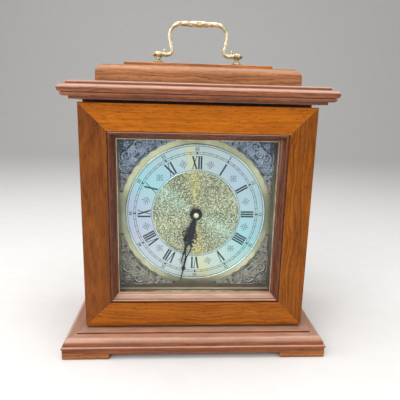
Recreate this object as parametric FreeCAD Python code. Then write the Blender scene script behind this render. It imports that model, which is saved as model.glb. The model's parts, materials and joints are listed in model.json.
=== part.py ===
import FreeCAD, Part
import math
import os

# Bracket clock in a stained wooden case, with a glazed door, a square brass dial and a bail handle.
# Millimetres.  X is to the right seen from the front, Y runs from the front to the back, Z is up.
# The origin is on the surface that the clock stands on, under the middle of its base.

Vector = FreeCAD.Vector

# ---- driving counts ----------------------------------------------------------------------------------
bar_sides = 16                # flats round pins, posts, bores and other small rounds
band_step = 24.0              # degrees, most that one flat of a hand's scroll turns

# ---- driving sizes: case ---------------------------------------------------------------------------
case_width = 228.0            # across the case sides, and across the door that covers their front
door_height = 228.0
door_thickness = 22.0
door_gap_below = 2.65         # between the door and the ledge of the base
door_gap_above = 2.4          # between the door and the cornice
door_gap_behind = 0.6         # between the closed door and the case
base_depth = 160.0            # overall, from the nose of the front moulding to the back rail
back_overhang = 6.0           # of the base behind the case
side_thickness = 12.0
rail_depth = 10.0             # front rails and stiles, front to back: the dial lies behind them
opening_inset = 28.0          # from the door's edges to the opening between the front rails and stiles
back_rail_height = 12.0
back_rail_depth = 14.0
strip_inset = 10.0            # how far the mouldings reach in under and over the sides

# ---- driving sizes: base and feet ------------------------------------------------------------------
foot_height = 6.4
foot_width = 46.6
foot_depth = 40.0
foot_chamfer = 0.8
fascia_overhang = 20.4
bead_overhang = 21.3
ovolo_top_overhang = 14.5
ledge_overhang = 7.7
fascia_height = 4.5
bead_height = 2.8
bead_quirk = 0.9              # how far the ovolo starts inside the bead's middle
ovolo_height = 7.0
ledge_height = 2.05
base_board_thickness = 12.0

# ---- driving sizes: cornice and tiers --------------------------------------------------------------
cornice_fillet_overhang = 6.0
cornice_fillet_height = 2.6
cornice_bead_overhang = 12.3
cornice_bead_height = 3.6
cornice_nose_overhang = 14.3
cornice_nose_height = 4.0
cornice_slope_height = 3.2
cornice_slope_overhang = 8.8
cornice_quirk_height = 0.8
cornice_top_overhang = 5.8
cornice_top_height = 2.4
tier_height = 17.5
tier_setback = 14.5           # from the case sides, all round
tier_round = 9.0
plinth_height = 4.4
plinth_setback = 38.7
plinth_arris = 0.8

# ---- driving sizes: door ---------------------------------------------------------------------------
stile_width = 26.0
door_arris = 0.8
lip_width = 7.5
lip_quirk_width = 0.7
lip_quirk_depth = 1.3
lip_bead_width = 2.2
lip_cove_depth = 7.0
lip_round_width = 1.3          # of the small round at the sight edge
lip_sight_depth = 2.0
bead_recess = 0.2             # of the glass beads from the door's back
glass_depth = 14.0            # from the door's front to the glass
glass_thickness = 2.5
glass_clearance = 0.4

# ---- driving sizes: dial ---------------------------------------------------------------------------
dial_plate_lap = 4.0          # of the plate behind the front rails and stiles
dial_plate_thickness = 1.5
ring_margin = 11.0            # between the ring and the opening
ring_width = 28.7
ring_thickness = 1.2
centre_disc_gap = 0.3
centre_disc_thickness = 0.6
spandrel_inset = 5.0          # from the opening to a spandrel's straight edges
spandrel_gap = 5.0            # from the ring to the hollow edge
spandrel_scallop = 2.4        # depth of the waves in the hollow edge
spandrel_arm_end = 22.5       # from the dial's middle lines to the ends of the arms
spandrel_thickness = 1.3
spandrel_relief = 0.9
spandrel_lobes = 5
clip_length = 16.0
clip_clearance = 1.0          # from the sides and from the plate's edge
clip_width = 7.0
clip_thickness = 1.6

# ---- driving sizes: movement and hands -------------------------------------------------------------
movement_size = 56.0
movement_depth = 16.0
movement_corner = 3.0
washer_thickness = 1.0
washer_radius = 9.0
bush_radius = 3.95
bush_hole_clearance = 0.25
bush_nut_flats = 11.0
bush_nut_thickness = 2.2
bush_lead = 0.5               # of the bush in front of its nut
pipe_radius = 2.5
arbor_radius = 1.5
running_clearance = 0.05
end_clearance = 0.3
pipe_depth = 6.0              # of the hour pipe inside the movement
arbor_depth = 11.0
cell_radius = 7.15
cell_length = 50.3
cell_clearance = 0.45
knob_radius = 7.0
knob_thickness = 3.6
knob_stem_radius = 2.0
knob_stem_depth = 6.0
knob_right = 11.0             # of the setting knob from the hands' axis
knob_up = 8.0
knob_ribs = 18
knob_rib_depth = 0.6
knob_stand_off = 0.4          # behind the movement
hand_thickness = 0.5
hour_hand_lead = 1.3          # of the hour hand in front of the bush
minute_hand_lead = 2.5        # of the minute hand in front of the hour hand
hour_hand_overlap = 9.7       # of the hour hand over the ring
minute_hand_margin = 1.0      # from the minute hand's point to the ring's edge
hand_stem_share = 0.30        # of a hand's length, from the hub to the first bow
hand_curl_share = 0.385
hand_bow_share = 0.65
hour_hub_radius = 6.0
minute_hub_radius = 5.0
hour_collet_radius = 3.6
hour_collet_clearance = 0.4   # from the bush
hand_nut_radius = 2.9
hand_nut_height = 2.7
hour_angle = 196.0            # clockwise from twelve, the hands at rest showing 6:32
minute_angle = 192.0

# ---- driving sizes: hinges and catches -------------------------------------------------------------
knuckle_radius = 2.6
pin_radius = 1.2
leaf_thickness = 1.2
leaf_gap = 0.2
knuckle_gap = 0.3
knuckle_stand_off = 0.35      # from a knuckle to the wood beside it
front_hinge_length = 40.0
front_hinge_inset = 26.0      # from the door's ends to the hinges
front_leaf_width = 11.0
front_knuckles = 3
back_hinge_length = 30.0
back_hinge_inset = 24.0
back_leaf_width = 6.5
back_knuckles = 2
magnet_radius = 3.0
magnet_depth = 8.0
strike_radius = 5.0
strike_thickness = 0.8

# ---- driving sizes: back door ----------------------------------------------------------------------
back_door_thickness = 8.0
back_door_gap = 0.8
back_knob_radius = 5.5
back_knob_length = 5.6
back_knob_inset = 14.0

# ---- driving sizes: handle -------------------------------------------------------------------------
post_spacing = 84.0
pivot_height = 11.1           # above the plinth
bail_rise = 32.3              # from the pivots to the middle of the grip
bail_radius = 2.1
bail_sides = 10               # flats round the bail and its acorns
grip_radius = 2.6
cusp_radius = 1.3             # of the leaf cusps under the grip
cusp_reach = 3.7              # of a cusp below the grip's middle
cusp_offset = 8.0
grip_half_length = 17.0
shoulder_radius = 12.5
leg_lean = 13.0               # degrees, inward and down
foot_curl_radius = 4.6
shoulder_half_span = 30.5     # from the middle to the outermost run of the wire
lug_radius = 2.9
lug_thickness = 2.2
lug_height = 5.8              # above the pivots
lug_tip_radius = 1.5
lug_offset = 6.2              # from a post to the middle of the lug
bail_pin_radius = 1.6
eye_radius = 3.8
eye_half_width = 3.0
eye_clearance = 0.3
acorn_length = 3.2
acorn_radius = 2.5
rosette_radius = 12.0
rosette_sides = 24
rosette_height = 4.2
rosette_collar = 0.8          # of the rosette's boss beyond the post's foot
post_foot_radius = 3.6
post_foot_height = 1.5
post_neck_radius = 1.9
stud_radius = 2.0
stud_hole_clearance = 0.2
stud_nut_flats = 7.0
stud_nut_thickness = 3.2
stud_washer_half = 5.5
stud_washer_thickness = 1.0
stud_end = 1.5                # of the stud below its nut

# ---- worked out from the above ---------------------------------------------------------------------
half_width = case_width / 2
base_front = -base_depth / 2
base_back = base_depth / 2
door_front = base_front + bead_overhang
case_front = door_front + door_thickness + door_gap_behind
case_back = base_back - back_overhang
case_middle = (door_front + case_back) / 2
base_height = fascia_height + bead_height + ovolo_height + ledge_height + 0.5
ledge_level = foot_height + base_height
door_bottom = ledge_level + door_gap_below
door_top = door_bottom + door_height
cornice_level = door_top + door_gap_above
cornice_height = (cornice_fillet_height + cornice_bead_height + cornice_nose_height
                  + cornice_slope_height + cornice_quirk_height + cornice_top_height)
tier_level = cornice_level + cornice_height
plinth_level = tier_level + tier_height
plinth_top = plinth_level + plinth_height
pivot_level = plinth_top + pivot_height
dial_level = (door_bottom + door_top) / 2
inside_width = case_width - 2 * side_thickness
opening_half_width = half_width - opening_inset
opening_half_height = door_height / 2 - opening_inset
opening_half = min(opening_half_width, opening_half_height)
strip_half = half_width - strip_inset

plate_half_width = opening_half_width + dial_plate_lap
plate_half_height = opening_half_height + dial_plate_lap
plate_front = case_front + rail_depth
plate_back = plate_front + dial_plate_thickness
ring_outer_radius = opening_half - ring_margin
ring_inner_radius = ring_outer_radius - ring_width
ring_front = plate_front - ring_thickness
spandrel_edge = opening_half - spandrel_inset
disc_front = plate_front - centre_disc_thickness
movement_front = plate_back + washer_thickness
movement_back = movement_front + movement_depth
bush_tip = disc_front - bush_nut_thickness - bush_lead
hour_hand_front = bush_tip - hour_hand_lead - hand_thickness
minute_hand_front = hour_hand_front - minute_hand_lead
hour_hand_length = ring_inner_radius + hour_hand_overlap
minute_hand_length = ring_outer_radius - minute_hand_margin

back_door_bottom = ledge_level + back_door_gap
back_door_top = cornice_level - back_rail_height - back_door_gap
back_door_half = inside_width / 2 - back_door_gap

hinge_axis_out = knuckle_radius + knuckle_stand_off
leaf_pair = 2 * leaf_thickness + leaf_gap
stud_length = plinth_top - cornice_level + stud_washer_thickness + stud_nut_thickness + stud_end


# ---- small helpers ---------------------------------------------------------------------------------
def box(x0, x1, y0, y1, z0, z1):
    return Part.makeBox(x1 - x0, y1 - y0, z1 - z0, Vector(x0, y0, z0))


def bar(radius, start, end):
    """A small round, solid or bore, as a prism whose corners line up with those of its neighbours."""
    along = end - start
    side = Vector(1, 0, 0) if abs(along.x) < 1e-6 else Vector(0, 0, 1)
    other = along.cross(side).normalize()
    turns = [2 * math.pi * i / bar_sides for i in range(bar_sides + 1)]
    corners = [start + (side * math.cos(a) + other * math.sin(a)) * radius for a in turns]
    return prism(Part.makePolygon(corners), along)


def fused(shapes):
    shapes = list(shapes)
    whole = shapes[0]
    if len(shapes) > 1:
        whole = whole.fuse(shapes[1:])
    return whole.removeSplitter()


def outline(place, start, *moves):
    """A closed wire.  A move is a point to run straight to, or a pair: a point on an arc and its end."""
    edges = []
    here = start
    for move in moves + (start,):
        if isinstance(move[0], tuple):
            middle, end = move
            edges.append(Part.Arc(place(*here), place(*middle), place(*end)).toShape())
        else:
            end = move
            if math.dist(here, end) > 1e-6:
                edges.append(Part.LineSegment(place(*here), place(*end)).toShape())
        here = end
    return Part.Wire(edges)


def faceted(points, sides, place):
    """A solid with flat sides round an axis, from (radius, height) points that start and end on it."""
    rings = []
    for radius, height in points[1:-1]:
        rings.append([place(radius * math.cos(2 * math.pi * i / sides),
                            radius * math.sin(2 * math.pi * i / sides), height) for i in range(sides)])
    faces = [Part.Face(Part.makePolygon(ring + ring[:1])) for ring in (rings[0], rings[-1])]
    for low, high in zip(rings, rings[1:]):
        for i in range(sides):
            j = (i + 1) % sides
            faces.append(Part.Face(Part.makePolygon([low[i], low[j], high[j], high[i], low[i]])))
    shell = Part.makeShell(faces)
    solid = Part.makeSolid(shell)
    if solid.Volume < 0:
        solid.reverse()
    return solid


def prism(wire, along):
    return Part.Face(wire).extrude(along)


def plan_prism(points, z0, z1):
    wire = Part.makePolygon([Vector(x, y, z0) for x, y in points + points[:1]])
    return prism(wire, Vector(0, 0, z1 - z0))


def hexagon_nut(flats, thickness, bore, start, along):
    """A nut whose axis runs from start along the given unit vector."""
    across = Vector(1, 0, 0)
    other = along.cross(across)
    corner = flats / math.sqrt(3)
    turns = [math.radians(60 * i) for i in range(7)]
    points = [start + across * (corner * math.cos(a)) + other * (corner * math.sin(a)) for a in turns]
    nut = prism(Part.makePolygon(points), along * thickness)
    return nut.cut(bar(bore, start, start + along * thickness))


# ---- mouldings of the base and the cornice ---------------------------------------------------------
def base_profile():
    """Points (overhang, height) of the base moulding: fascia, bead, ovolo, fillet and ledge."""
    bead_low = fascia_height
    bead_high = bead_low + bead_height
    ovolo_foot = bead_high + 0.5
    ovolo_top = ovolo_foot + ovolo_height
    ledge_top = ovolo_top + ledge_height
    ovolo_foot_overhang = bead_overhang - bead_quirk - 1.0
    middle = ((ovolo_foot_overhang + ovolo_top_overhang) / 2 + 1.1, (ovolo_foot + ovolo_top) / 2 + 0.9)
    return (
        (-strip_inset, 0), (fascia_overhang, 0), (fascia_overhang, bead_low),
        ((bead_overhang, (bead_low + bead_high) / 2), (fascia_overhang, bead_high)),
        (ovolo_foot_overhang, bead_high), (ovolo_foot_overhang, ovolo_foot),
        (middle, (ovolo_top_overhang, ovolo_top)),
        (ledge_overhang, ovolo_top), (ledge_overhang, ledge_top - 0.5),
        ((ledge_overhang - 0.15, ledge_top - 0.15), (ledge_overhang - 0.5, ledge_top)),
        (-strip_inset, ledge_top))


def cornice_profile():
    """Points (overhang, height) of the cornice: fillet, bead, nose, slope, quirk and top round."""
    fillet_top = cornice_fillet_height
    bead_top = fillet_top + cornice_bead_height
    nose_top = bead_top + cornice_nose_height
    slope_top = nose_top + cornice_slope_height
    quirk_top = slope_top + cornice_quirk_height
    top = quirk_top + cornice_top_height
    bead_in = cornice_bead_overhang - 1.4
    return (
        (-strip_inset, 0), (cornice_fillet_overhang, 0), (cornice_fillet_overhang, fillet_top),
        (bead_in, fillet_top), (bead_in, fillet_top + 0.8),
        ((cornice_bead_overhang, (fillet_top + 0.8 + bead_top - 0.4) / 2), (bead_in, bead_top - 0.4)),
        (bead_in, bead_top), (cornice_nose_overhang - 1.3, bead_top),
        ((cornice_nose_overhang, bead_top + 2.2), (cornice_nose_overhang - 0.1, nose_top)),
        ((cornice_nose_overhang - 1.7, nose_top + 2.0), (cornice_slope_overhang, slope_top)),
        (cornice_slope_overhang - 0.8, slope_top), (cornice_slope_overhang - 0.8, quirk_top),
        ((cornice_top_overhang + 1.55, top - 0.75), (cornice_top_overhang, top)),
        (-strip_inset, top))


def moulding_strips(profile, level, back):
    """The mitred front, left and right strips of a moulding that wraps the case."""
    reach = max(p[0] if not isinstance(p[0], tuple) else p[1][0] for p in profile) + 5
    top = level + 60
    inner = strip_half
    outer = half_width + reach
    front_inner = door_front + strip_inset
    front_outer = door_front - reach
    front_wire = outline(lambda o, z: Vector(-outer, door_front - o, level + z), *profile)
    front = prism(front_wire, Vector(2 * outer, 0, 0))
    plan = [(-inner, front_inner), (inner, front_inner), (outer, front_outer), (-outer, front_outer)]
    strips = {"front": front.common(plan_prism(plan, level - 1, top))}
    for side, sign in (("left", -1), ("right", 1)):
        wire = outline(lambda o, z: Vector(sign * (half_width + o), back, level + z), *profile)
        strip = prism(wire, Vector(0, front_outer - back, 0))
        plan = [(sign * inner, front_inner), (sign * outer, front_outer), (sign * outer, back),
                (sign * inner, back)]
        strips[side] = strip.common(plan_prism(plan, level - 1, top))
    return strips


def foot(side, end):
    x_out = side * (half_width + fascia_overhang)
    x_in = x_out - side * foot_width
    y_out = door_front - fascia_overhang if end < 0 else base_back
    y_in = y_out - end * foot_depth
    block = box(min(x_in, x_out), max(x_in, x_out), min(y_in, y_out), max(y_in, y_out), 0, foot_height)
    low = [e for e in block.Edges if all(abs(v.Point.z) < 1e-6 for v in e.Vertexes)]
    return block.makeChamfer(foot_chamfer, low)


def base_parts():
    strips = moulding_strips(base_profile(), foot_height, base_back)
    board_top = ledge_level
    board = box(-strip_half, strip_half, door_front + strip_inset, base_back - back_rail_depth,
                board_top - base_board_thickness, board_top)
    rail = box(-strip_half, strip_half, base_back - back_rail_depth, base_back, foot_height, ledge_level)
    return {
        "feet_front": Part.makeCompound([foot(-1, -1), foot(1, -1)]),
        "feet_back": Part.makeCompound([foot(-1, 1), foot(1, 1)]),
        "base_moulding_front": strips["front"],
        "base_moulding_left": strips["left"],
        "base_moulding_right": strips["right"],
        "base_board": board,
        "base_back_rail": rail,
    }


# ---- case: sides, rails, top -----------------------------------------------------------------------
def side_panel(sign):
    x0 = sign * (half_width - side_thickness)
    x1 = sign * half_width
    panel = box(min(x0, x1), max(x0, x1), case_front, case_back, ledge_level, cornice_level)
    cuts = []
    if sign > 0:
        for z0 in front_hinge_starts():
            cuts.append(front_leaf_recess(z0, 1))
    else:
        cuts.append(magnet_bore())
        for z0 in back_hinge_starts():
            cuts.append(back_leaf_recess(z0, -1))
    return panel.cut(cuts)


def front_frame():
    low = dial_level - opening_half_height
    high = dial_level + opening_half_height
    x = inside_width / 2
    back = case_front + rail_depth
    opening = opening_half_width
    return {
        "front_rail_bottom": box(-x, x, case_front, back, ledge_level, low),
        "front_rail_top": box(-x, x, case_front, back, high, cornice_level),
        "front_stile_left": box(-x, -opening, case_front, back, low, high),
        "front_stile_right": box(opening, x, case_front, back, low, high),
    }


def stud_places():
    return [Vector(sign * post_spacing / 2, case_middle, 0) for sign in (-1, 1)]


def stud_holes(z0, z1):
    radius = stud_radius + stud_hole_clearance
    return [bar(radius, p + Vector(0, 0, z0), p + Vector(0, 0, z1)) for p in stud_places()]


def top_parts():
    strips = moulding_strips(cornice_profile(), cornice_level, case_back)
    board = box(-strip_half, strip_half, door_front + strip_inset, case_back, cornice_level, tier_level)
    tier = box(-half_width + tier_setback, half_width - tier_setback, door_front + tier_setback,
               case_back - tier_setback, tier_level, plinth_level)
    tier_edges = [e for e in tier.Edges if all(abs(v.Point.z - plinth_level) < 1e-6 for v in e.Vertexes)]
    tier = tier.makeFillet(tier_round, tier_edges)
    plinth = box(-half_width + plinth_setback, half_width - plinth_setback, door_front + plinth_setback,
                 case_back - plinth_setback, plinth_level, plinth_top)
    plinth_edges = [e for e in plinth.Edges if all(abs(v.Point.z - plinth_top) < 1e-6 for v in e.Vertexes)]
    plinth = plinth.makeFillet(plinth_arris, plinth_edges)
    rail_x = inside_width / 2
    back_rail = box(-rail_x, rail_x, case_back - back_rail_depth, case_back,
                    cornice_level - back_rail_height, cornice_level)
    return {
        "cornice_front": strips["front"],
        "cornice_left": strips["left"],
        "cornice_right": strips["right"],
        "top_board": board.cut(stud_holes(cornice_level - 1, tier_level + 1)),
        "round_tier": tier.cut(stud_holes(tier_level - 1, plinth_level + 1)),
        "top_plinth": plinth.cut(stud_holes(plinth_level - 1, plinth_top + 1)),
        "back_rail_top": back_rail.cut(back_magnet_bore()),
    }


def glue_blocks():
    """Triangular blocks in the corners between the sides and the boards."""
    leg = side_thickness
    blocks = []
    x = inside_width / 2
    for sign in (-1, 1):
        for level, up in ((ledge_level, 1), (cornice_level, -1)):
            corner = Vector(sign * x, 0, level)
            points = [corner, corner - Vector(sign * leg, 0, 0), corner + Vector(0, 0, up * leg), corner]
            block = prism(Part.makePolygon(points), Vector(0, 4 * leg, 0))
            block.translate(Vector(0, case_middle - 2 * leg, 0))
            blocks.append(block)
    return Part.makeCompound(blocks)


# ---- hinges ----------------------------------------------------------------------------------------
def front_hinge_starts():
    return [door_bottom + front_hinge_inset, door_top - front_hinge_inset - front_hinge_length]


def back_hinge_starts():
    return [back_door_bottom + back_hinge_inset, back_door_top - back_hinge_inset - back_hinge_length]


def front_hinge_axis():
    return Vector(half_width + hinge_axis_out, case_front - door_gap_behind / 2, 0)


def back_hinge_axis():
    return Vector(-inside_width / 2 + back_door_gap / 2, case_back + hinge_axis_out, 0)


def hinge(length, leaf_width, knuckles):
    """A butt hinge on the Z axis, its leaves towards -X, the fixed one on the +Y side."""
    lift = (length - (knuckles - 1) * knuckle_gap) / knuckles
    starts = [i * (lift + knuckle_gap) for i in range(knuckles)]
    edge = -hinge_axis_out
    near = leaf_gap / 2
    far = near + leaf_thickness

    def knuckle(start, bore, side):
        low, high = Vector(0, 0, start), Vector(0, 0, start + lift)
        tongue = box(edge, 0, min(side * near, side * far), max(side * near, side * far),
                     start, start + lift)
        barrel = bar(knuckle_radius, low, high).fuse(tongue)
        return barrel.cut(bar(bore, low - Vector(0, 0, 1), high + Vector(0, 0, 1)))

    fixed = [box(edge - leaf_width, edge, near, far, 0, length)]
    fixed += [knuckle(start, pin_radius, 1) for start in starts[0::2]]
    moving = [box(edge - leaf_width, edge, -far, -near, 0, length)]
    moving += [knuckle(start, pin_radius + running_clearance, -1) for start in starts[1::2]]
    pin = bar(pin_radius, Vector(0, 0, 0), Vector(0, 0, length))
    return {"fixed": fused(fixed), "moving": fused(moving), "pin": pin}


def placed_hinge(part, length, leaf_width, knuckles, axis, start, turn):
    shape = hinge(length, leaf_width, knuckles)[part]
    shape.rotate(Vector(0, 0, 0), Vector(0, 0, 1), turn)
    shape.translate(axis + Vector(0, 0, start))
    return shape


def front_hinges(part):
    axis = front_hinge_axis()
    return [placed_hinge(part, front_hinge_length, front_leaf_width, front_knuckles, axis, z, 0)
            for z in front_hinge_starts()]


def back_hinges(part):
    axis = back_hinge_axis()
    return [placed_hinge(part, back_hinge_length, back_leaf_width, back_knuckles, axis, z, 90)
            for z in back_hinge_starts()]


def front_leaf_recess(z0, side):
    """The sinking for a front leaf: side 1 in the case, -1 in the door."""
    middle = case_front - door_gap_behind / 2
    face = middle + side * door_gap_behind / 2
    deep = middle + side * leaf_pair / 2
    x1 = half_width + 1
    return box(half_width - front_leaf_width, x1, min(face - side, deep), max(face - side, deep),
               z0, z0 + front_hinge_length)


def back_leaf_recess(z0, side):
    """The sinking for a back leaf: side -1 in the case side, 1 in the door's edge."""
    middle = -inside_width / 2 + back_door_gap / 2
    face = middle + side * back_door_gap / 2
    deep = middle + side * leaf_pair / 2
    return box(min(face - side, deep), max(face - side, deep), case_back - back_leaf_width, case_back + 1,
               z0, z0 + back_hinge_length)


# ---- catches ---------------------------------------------------------------------------------------
def magnet_place():
    return Vector(-half_width + side_thickness / 2, case_front, dial_level)


def magnet_bore():
    here = magnet_place()
    return bar(magnet_radius, here - Vector(0, 1, 0), here + Vector(0, magnet_depth, 0))


def back_magnet_place():
    return Vector(inside_width / 2 - back_knob_inset, case_back - back_door_thickness,
                  cornice_level - back_rail_height)


def back_magnet_bore():
    here = back_magnet_place() + Vector(0, back_door_thickness / 2, 0)
    return bar(magnet_radius, here - Vector(0, 0, 1), here + Vector(0, 0, magnet_depth))


def catch_magnets():
    front = magnet_place()
    back = back_magnet_place() + Vector(0, back_door_thickness / 2, 0)
    return Part.makeCompound([
        bar(magnet_radius, front, front + Vector(0, magnet_depth, 0)),
        bar(magnet_radius, back, back + Vector(0, 0, magnet_depth))])


def front_strike():
    face = magnet_place() - Vector(0, door_gap_behind, 0)
    return bar(strike_radius, face - Vector(0, strike_thickness, 0), face)


def back_strike():
    top = back_magnet_place() + Vector(0, back_door_thickness / 2, -back_door_gap)
    half = back_door_thickness / 2 - 1
    return box(top.x - strike_radius, top.x + strike_radius, top.y - half, top.y + half,
               top.z - strike_thickness, top.z)


# ---- front door ------------------------------------------------------------------------------------
def door_strip(side, profile):
    """A mitred strip of the door.  A profile point is (distance in from the door's edge, depth)."""
    half = half_width
    low, high = door_bottom, door_top
    over = 1
    wires = {
        "bottom": lambda u, v: Vector(-half - over, door_front + v, low + u),
        "top": lambda u, v: Vector(-half - over, door_front + v, high - u),
        "left": lambda u, v: Vector(-half + u, door_front + v, low - over),
        "right": lambda u, v: Vector(half - u, door_front + v, low - over),
    }
    level = side in ("bottom", "top")
    along = Vector(2 * (half + over), 0, 0) if level else Vector(0, 0, door_height + 2 * over)
    strip = prism(outline(wires[side], *profile), along)
    inner = stile_width + lip_width + over
    outside = {"left_low": (-half, low), "right_low": (half, low), "left_high": (-half, high),
               "right_high": (half, high)}
    inside = {"left_low": (-half + inner, low + inner), "right_low": (half - inner, low + inner),
              "left_high": (-half + inner, high - inner), "right_high": (half - inner, high - inner)}
    ends = {"bottom": ("left_low", "right_low"), "top": ("left_high", "right_high"),
            "left": ("left_low", "left_high"), "right": ("right_low", "right_high")}
    first, last = ends[side]
    plan = [outside[first], outside[last], inside[last], inside[first], outside[first]]
    wire = Part.makePolygon([Vector(x, door_front - over, z) for x, z in plan])
    return strip.common(prism(wire, Vector(0, door_thickness + 2 * over, 0)))


def door_members():
    r = door_arris
    profile = (
        (0, r), ((r * 0.3, r * 0.3), (r, 0)), (stile_width, 0), (stile_width, door_thickness),
        (0, door_thickness))
    members = {}
    names = {"bottom": "door_rail_bottom", "top": "door_rail_top", "left": "door_stile_left",
             "right": "door_stile_right"}
    for side, name in names.items():
        members[name] = door_strip(side, profile)
    sinkings = [front_leaf_recess(z0, -1) for z0 in front_hinge_starts()]
    members["door_stile_right"] = members["door_stile_right"].cut(sinkings)
    members["door_stile_left"] = members["door_stile_left"].cut(front_strike())
    return members


def lip_profile():
    """The moulded lip inside the door's frame: quirk, bead, quirk, cove and a small round."""
    u0 = stile_width
    bead_start = u0 + lip_quirk_width
    bead_end = bead_start + lip_bead_width
    cove_start = bead_end + lip_quirk_width
    sight = u0 + lip_width
    cove_end = sight - lip_round_width
    quirk_deep = lip_quirk_depth + lip_quirk_width
    cove_deep = quirk_deep + lip_cove_depth
    round_deep = cove_deep + lip_sight_depth
    return (
        (u0, lip_quirk_depth), (bead_start, lip_quirk_depth),
        (((bead_start + bead_end) / 2, lip_quirk_depth - lip_bead_width / 2), (bead_end, lip_quirk_depth)),
        (bead_end, quirk_deep), (cove_start, quirk_deep),
        ((cove_start * 0.75 + cove_end * 0.25, quirk_deep + lip_cove_depth * 0.6), (cove_end, cove_deep)),
        ((sight - lip_round_width * 0.29, cove_deep + lip_sight_depth * 0.25), (sight, round_deep)),
        (sight, glass_depth), (u0, glass_depth))


def bead_profile():
    """The square bead that holds the glass from behind."""
    u0 = stile_width
    back = door_thickness - bead_recess
    return ((u0, glass_depth + glass_thickness), (u0 + lip_width, glass_depth + glass_thickness),
            (u0 + lip_width, back), (u0, back))


def four_strips(profile):
    return Part.makeCompound([door_strip(side, profile) for side in ("bottom", "top", "left", "right")])


def door_glass():
    in_from_edge = stile_width + glass_clearance
    front = door_front + glass_depth
    return box(-half_width + in_from_edge, half_width - in_from_edge, front, front + glass_thickness,
               door_bottom + in_from_edge, door_top - in_from_edge)


# ---- dial ------------------------------------------------------------------------------------------
def dial_point(x, z, y):
    return Vector(x, y, dial_level + z)


def dial_disc(radius, front, back):
    return Part.makeCylinder(radius, back - front, dial_point(0, 0, front), Vector(0, 1, 0))


def dial_bar(radius, front, back):
    return bar(radius, dial_point(0, 0, front), dial_point(0, 0, back))


def dial_plate():
    plate = box(-plate_half_width, plate_half_width, plate_front, plate_back,
                dial_level - plate_half_height, dial_level + plate_half_height)
    return plate.cut(dial_bar(bush_radius + bush_hole_clearance, plate_front - 1, plate_back + 1))


def chapter_ring():
    ring = dial_disc(ring_outer_radius, ring_front, plate_front)
    return ring.cut(dial_disc(ring_inner_radius, ring_front - 1, plate_front + 1))


def dial_centre():
    disc = dial_disc(ring_inner_radius - centre_disc_gap, disc_front, plate_front)
    return disc.cut(dial_bar(bush_radius + bush_hole_clearance, disc_front - 1, plate_front + 1))


def band(centre, radius, start, end, width, y, depth):
    """A flat curved band in the dial's plane, its angles in degrees from +X."""
    steps = max(3, math.ceil((end - start) / band_step))
    angles = [math.radians(start + (end - start) * i / steps) for i in range(steps + 1)]
    sides = [(radius + width / 2, a) for a in angles] + [(radius - width / 2, a) for a in angles[::-1]]
    corners = [dial_point(centre[0] + r * math.cos(a), centre[1] + r * math.sin(a), y) for r, a in sides]
    return prism(Part.makePolygon(corners + corners[:1]), Vector(0, depth, 0))


def spandrel():
    """The top right corner casting: a scalloped plate with raised bosses at the corner and on its arms."""
    edge = spandrel_edge
    cusp = ring_outer_radius + spandrel_gap + spandrel_scallop
    lobe_low = ring_outer_radius + spandrel_gap
    front = plate_front - spandrel_thickness
    start = math.degrees(math.asin(spandrel_arm_end / cusp))
    step = (90 - 2 * start) / spandrel_lobes

    def at(radius, angle):
        a = math.radians(angle)
        return (radius * math.cos(a), radius * math.sin(a))

    low = at(cusp, start)
    high = at(cusp, 90 - start)
    moves = [(edge, low[1]), (edge, edge), (high[0], edge), high]
    for lobe in range(spandrel_lobes):
        angle = 90 - start - lobe * step
        moves.append((at(lobe_low, angle - step / 2), at(cusp, angle - step)))
    wire = outline(lambda x, z: dial_point(x, z, front), low, *moves)
    plate = prism(wire, Vector(0, spandrel_thickness, 0))
    room = edge - cusp / math.sqrt(2)
    bosses = [(edge - room * 0.45, edge - room * 0.45, room * 0.32)]
    for along, size in ((1.0, 0.24), (1.5, 0.13)):
        bosses.append((edge - room * size * 1.1, edge - room * along, room * size))
        bosses.append((edge - room * along, edge - room * size * 1.1, room * size))
    raised = []
    for x, z, radius in bosses:
        corners = [dial_point(x + radius * math.cos(math.radians(a)), z + radius * math.sin(math.radians(a)),
                              front - spandrel_relief) for a in range(0, 361, 45)]
        raised.append(prism(Part.makePolygon(corners), Vector(0, spandrel_relief, 0)))
    return plate.fuse(raised).removeSplitter()


def spandrels():
    names = ("spandrel_top_right", "spandrel_bottom_right", "spandrel_bottom_left", "spandrel_top_left")
    corners = {}
    for turn, name in enumerate(names):
        corner = spandrel()
        corner.rotate(dial_point(0, 0, 0), Vector(0, 1, 0), 90 * turn)
        corners[name] = corner
    return corners


def dial_clips():
    """Clips behind the front stiles that hold the dial plate against them."""
    clips = []
    outer = inside_width / 2 - clip_clearance
    pad_start = plate_half_width + clip_clearance
    back = plate_back + clip_thickness
    for sx in (-1, 1):
        for sz in (-1, 1):
            z = dial_level + sz * plate_half_height * 2 / 3
            low, high = z - clip_width / 2, z + clip_width / 2
            ends = sorted((sx * (outer - clip_length), sx * outer))
            clip = box(ends[0], ends[1], plate_back, back, low, high)
            ends = sorted((sx * pad_start, sx * outer))
            clips.append(fused([clip, box(ends[0], ends[1], plate_front, plate_back, low, high)]))
    return Part.makeCompound(clips)


# ---- movement --------------------------------------------------------------------------------------
def bay_middle():
    """Height of the cell's axis, near the movement's lower edge."""
    return dial_level - movement_size / 2 + 2 + cell_radius + cell_clearance


def cell_axis_y():
    return movement_back - cell_radius - cell_clearance


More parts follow.
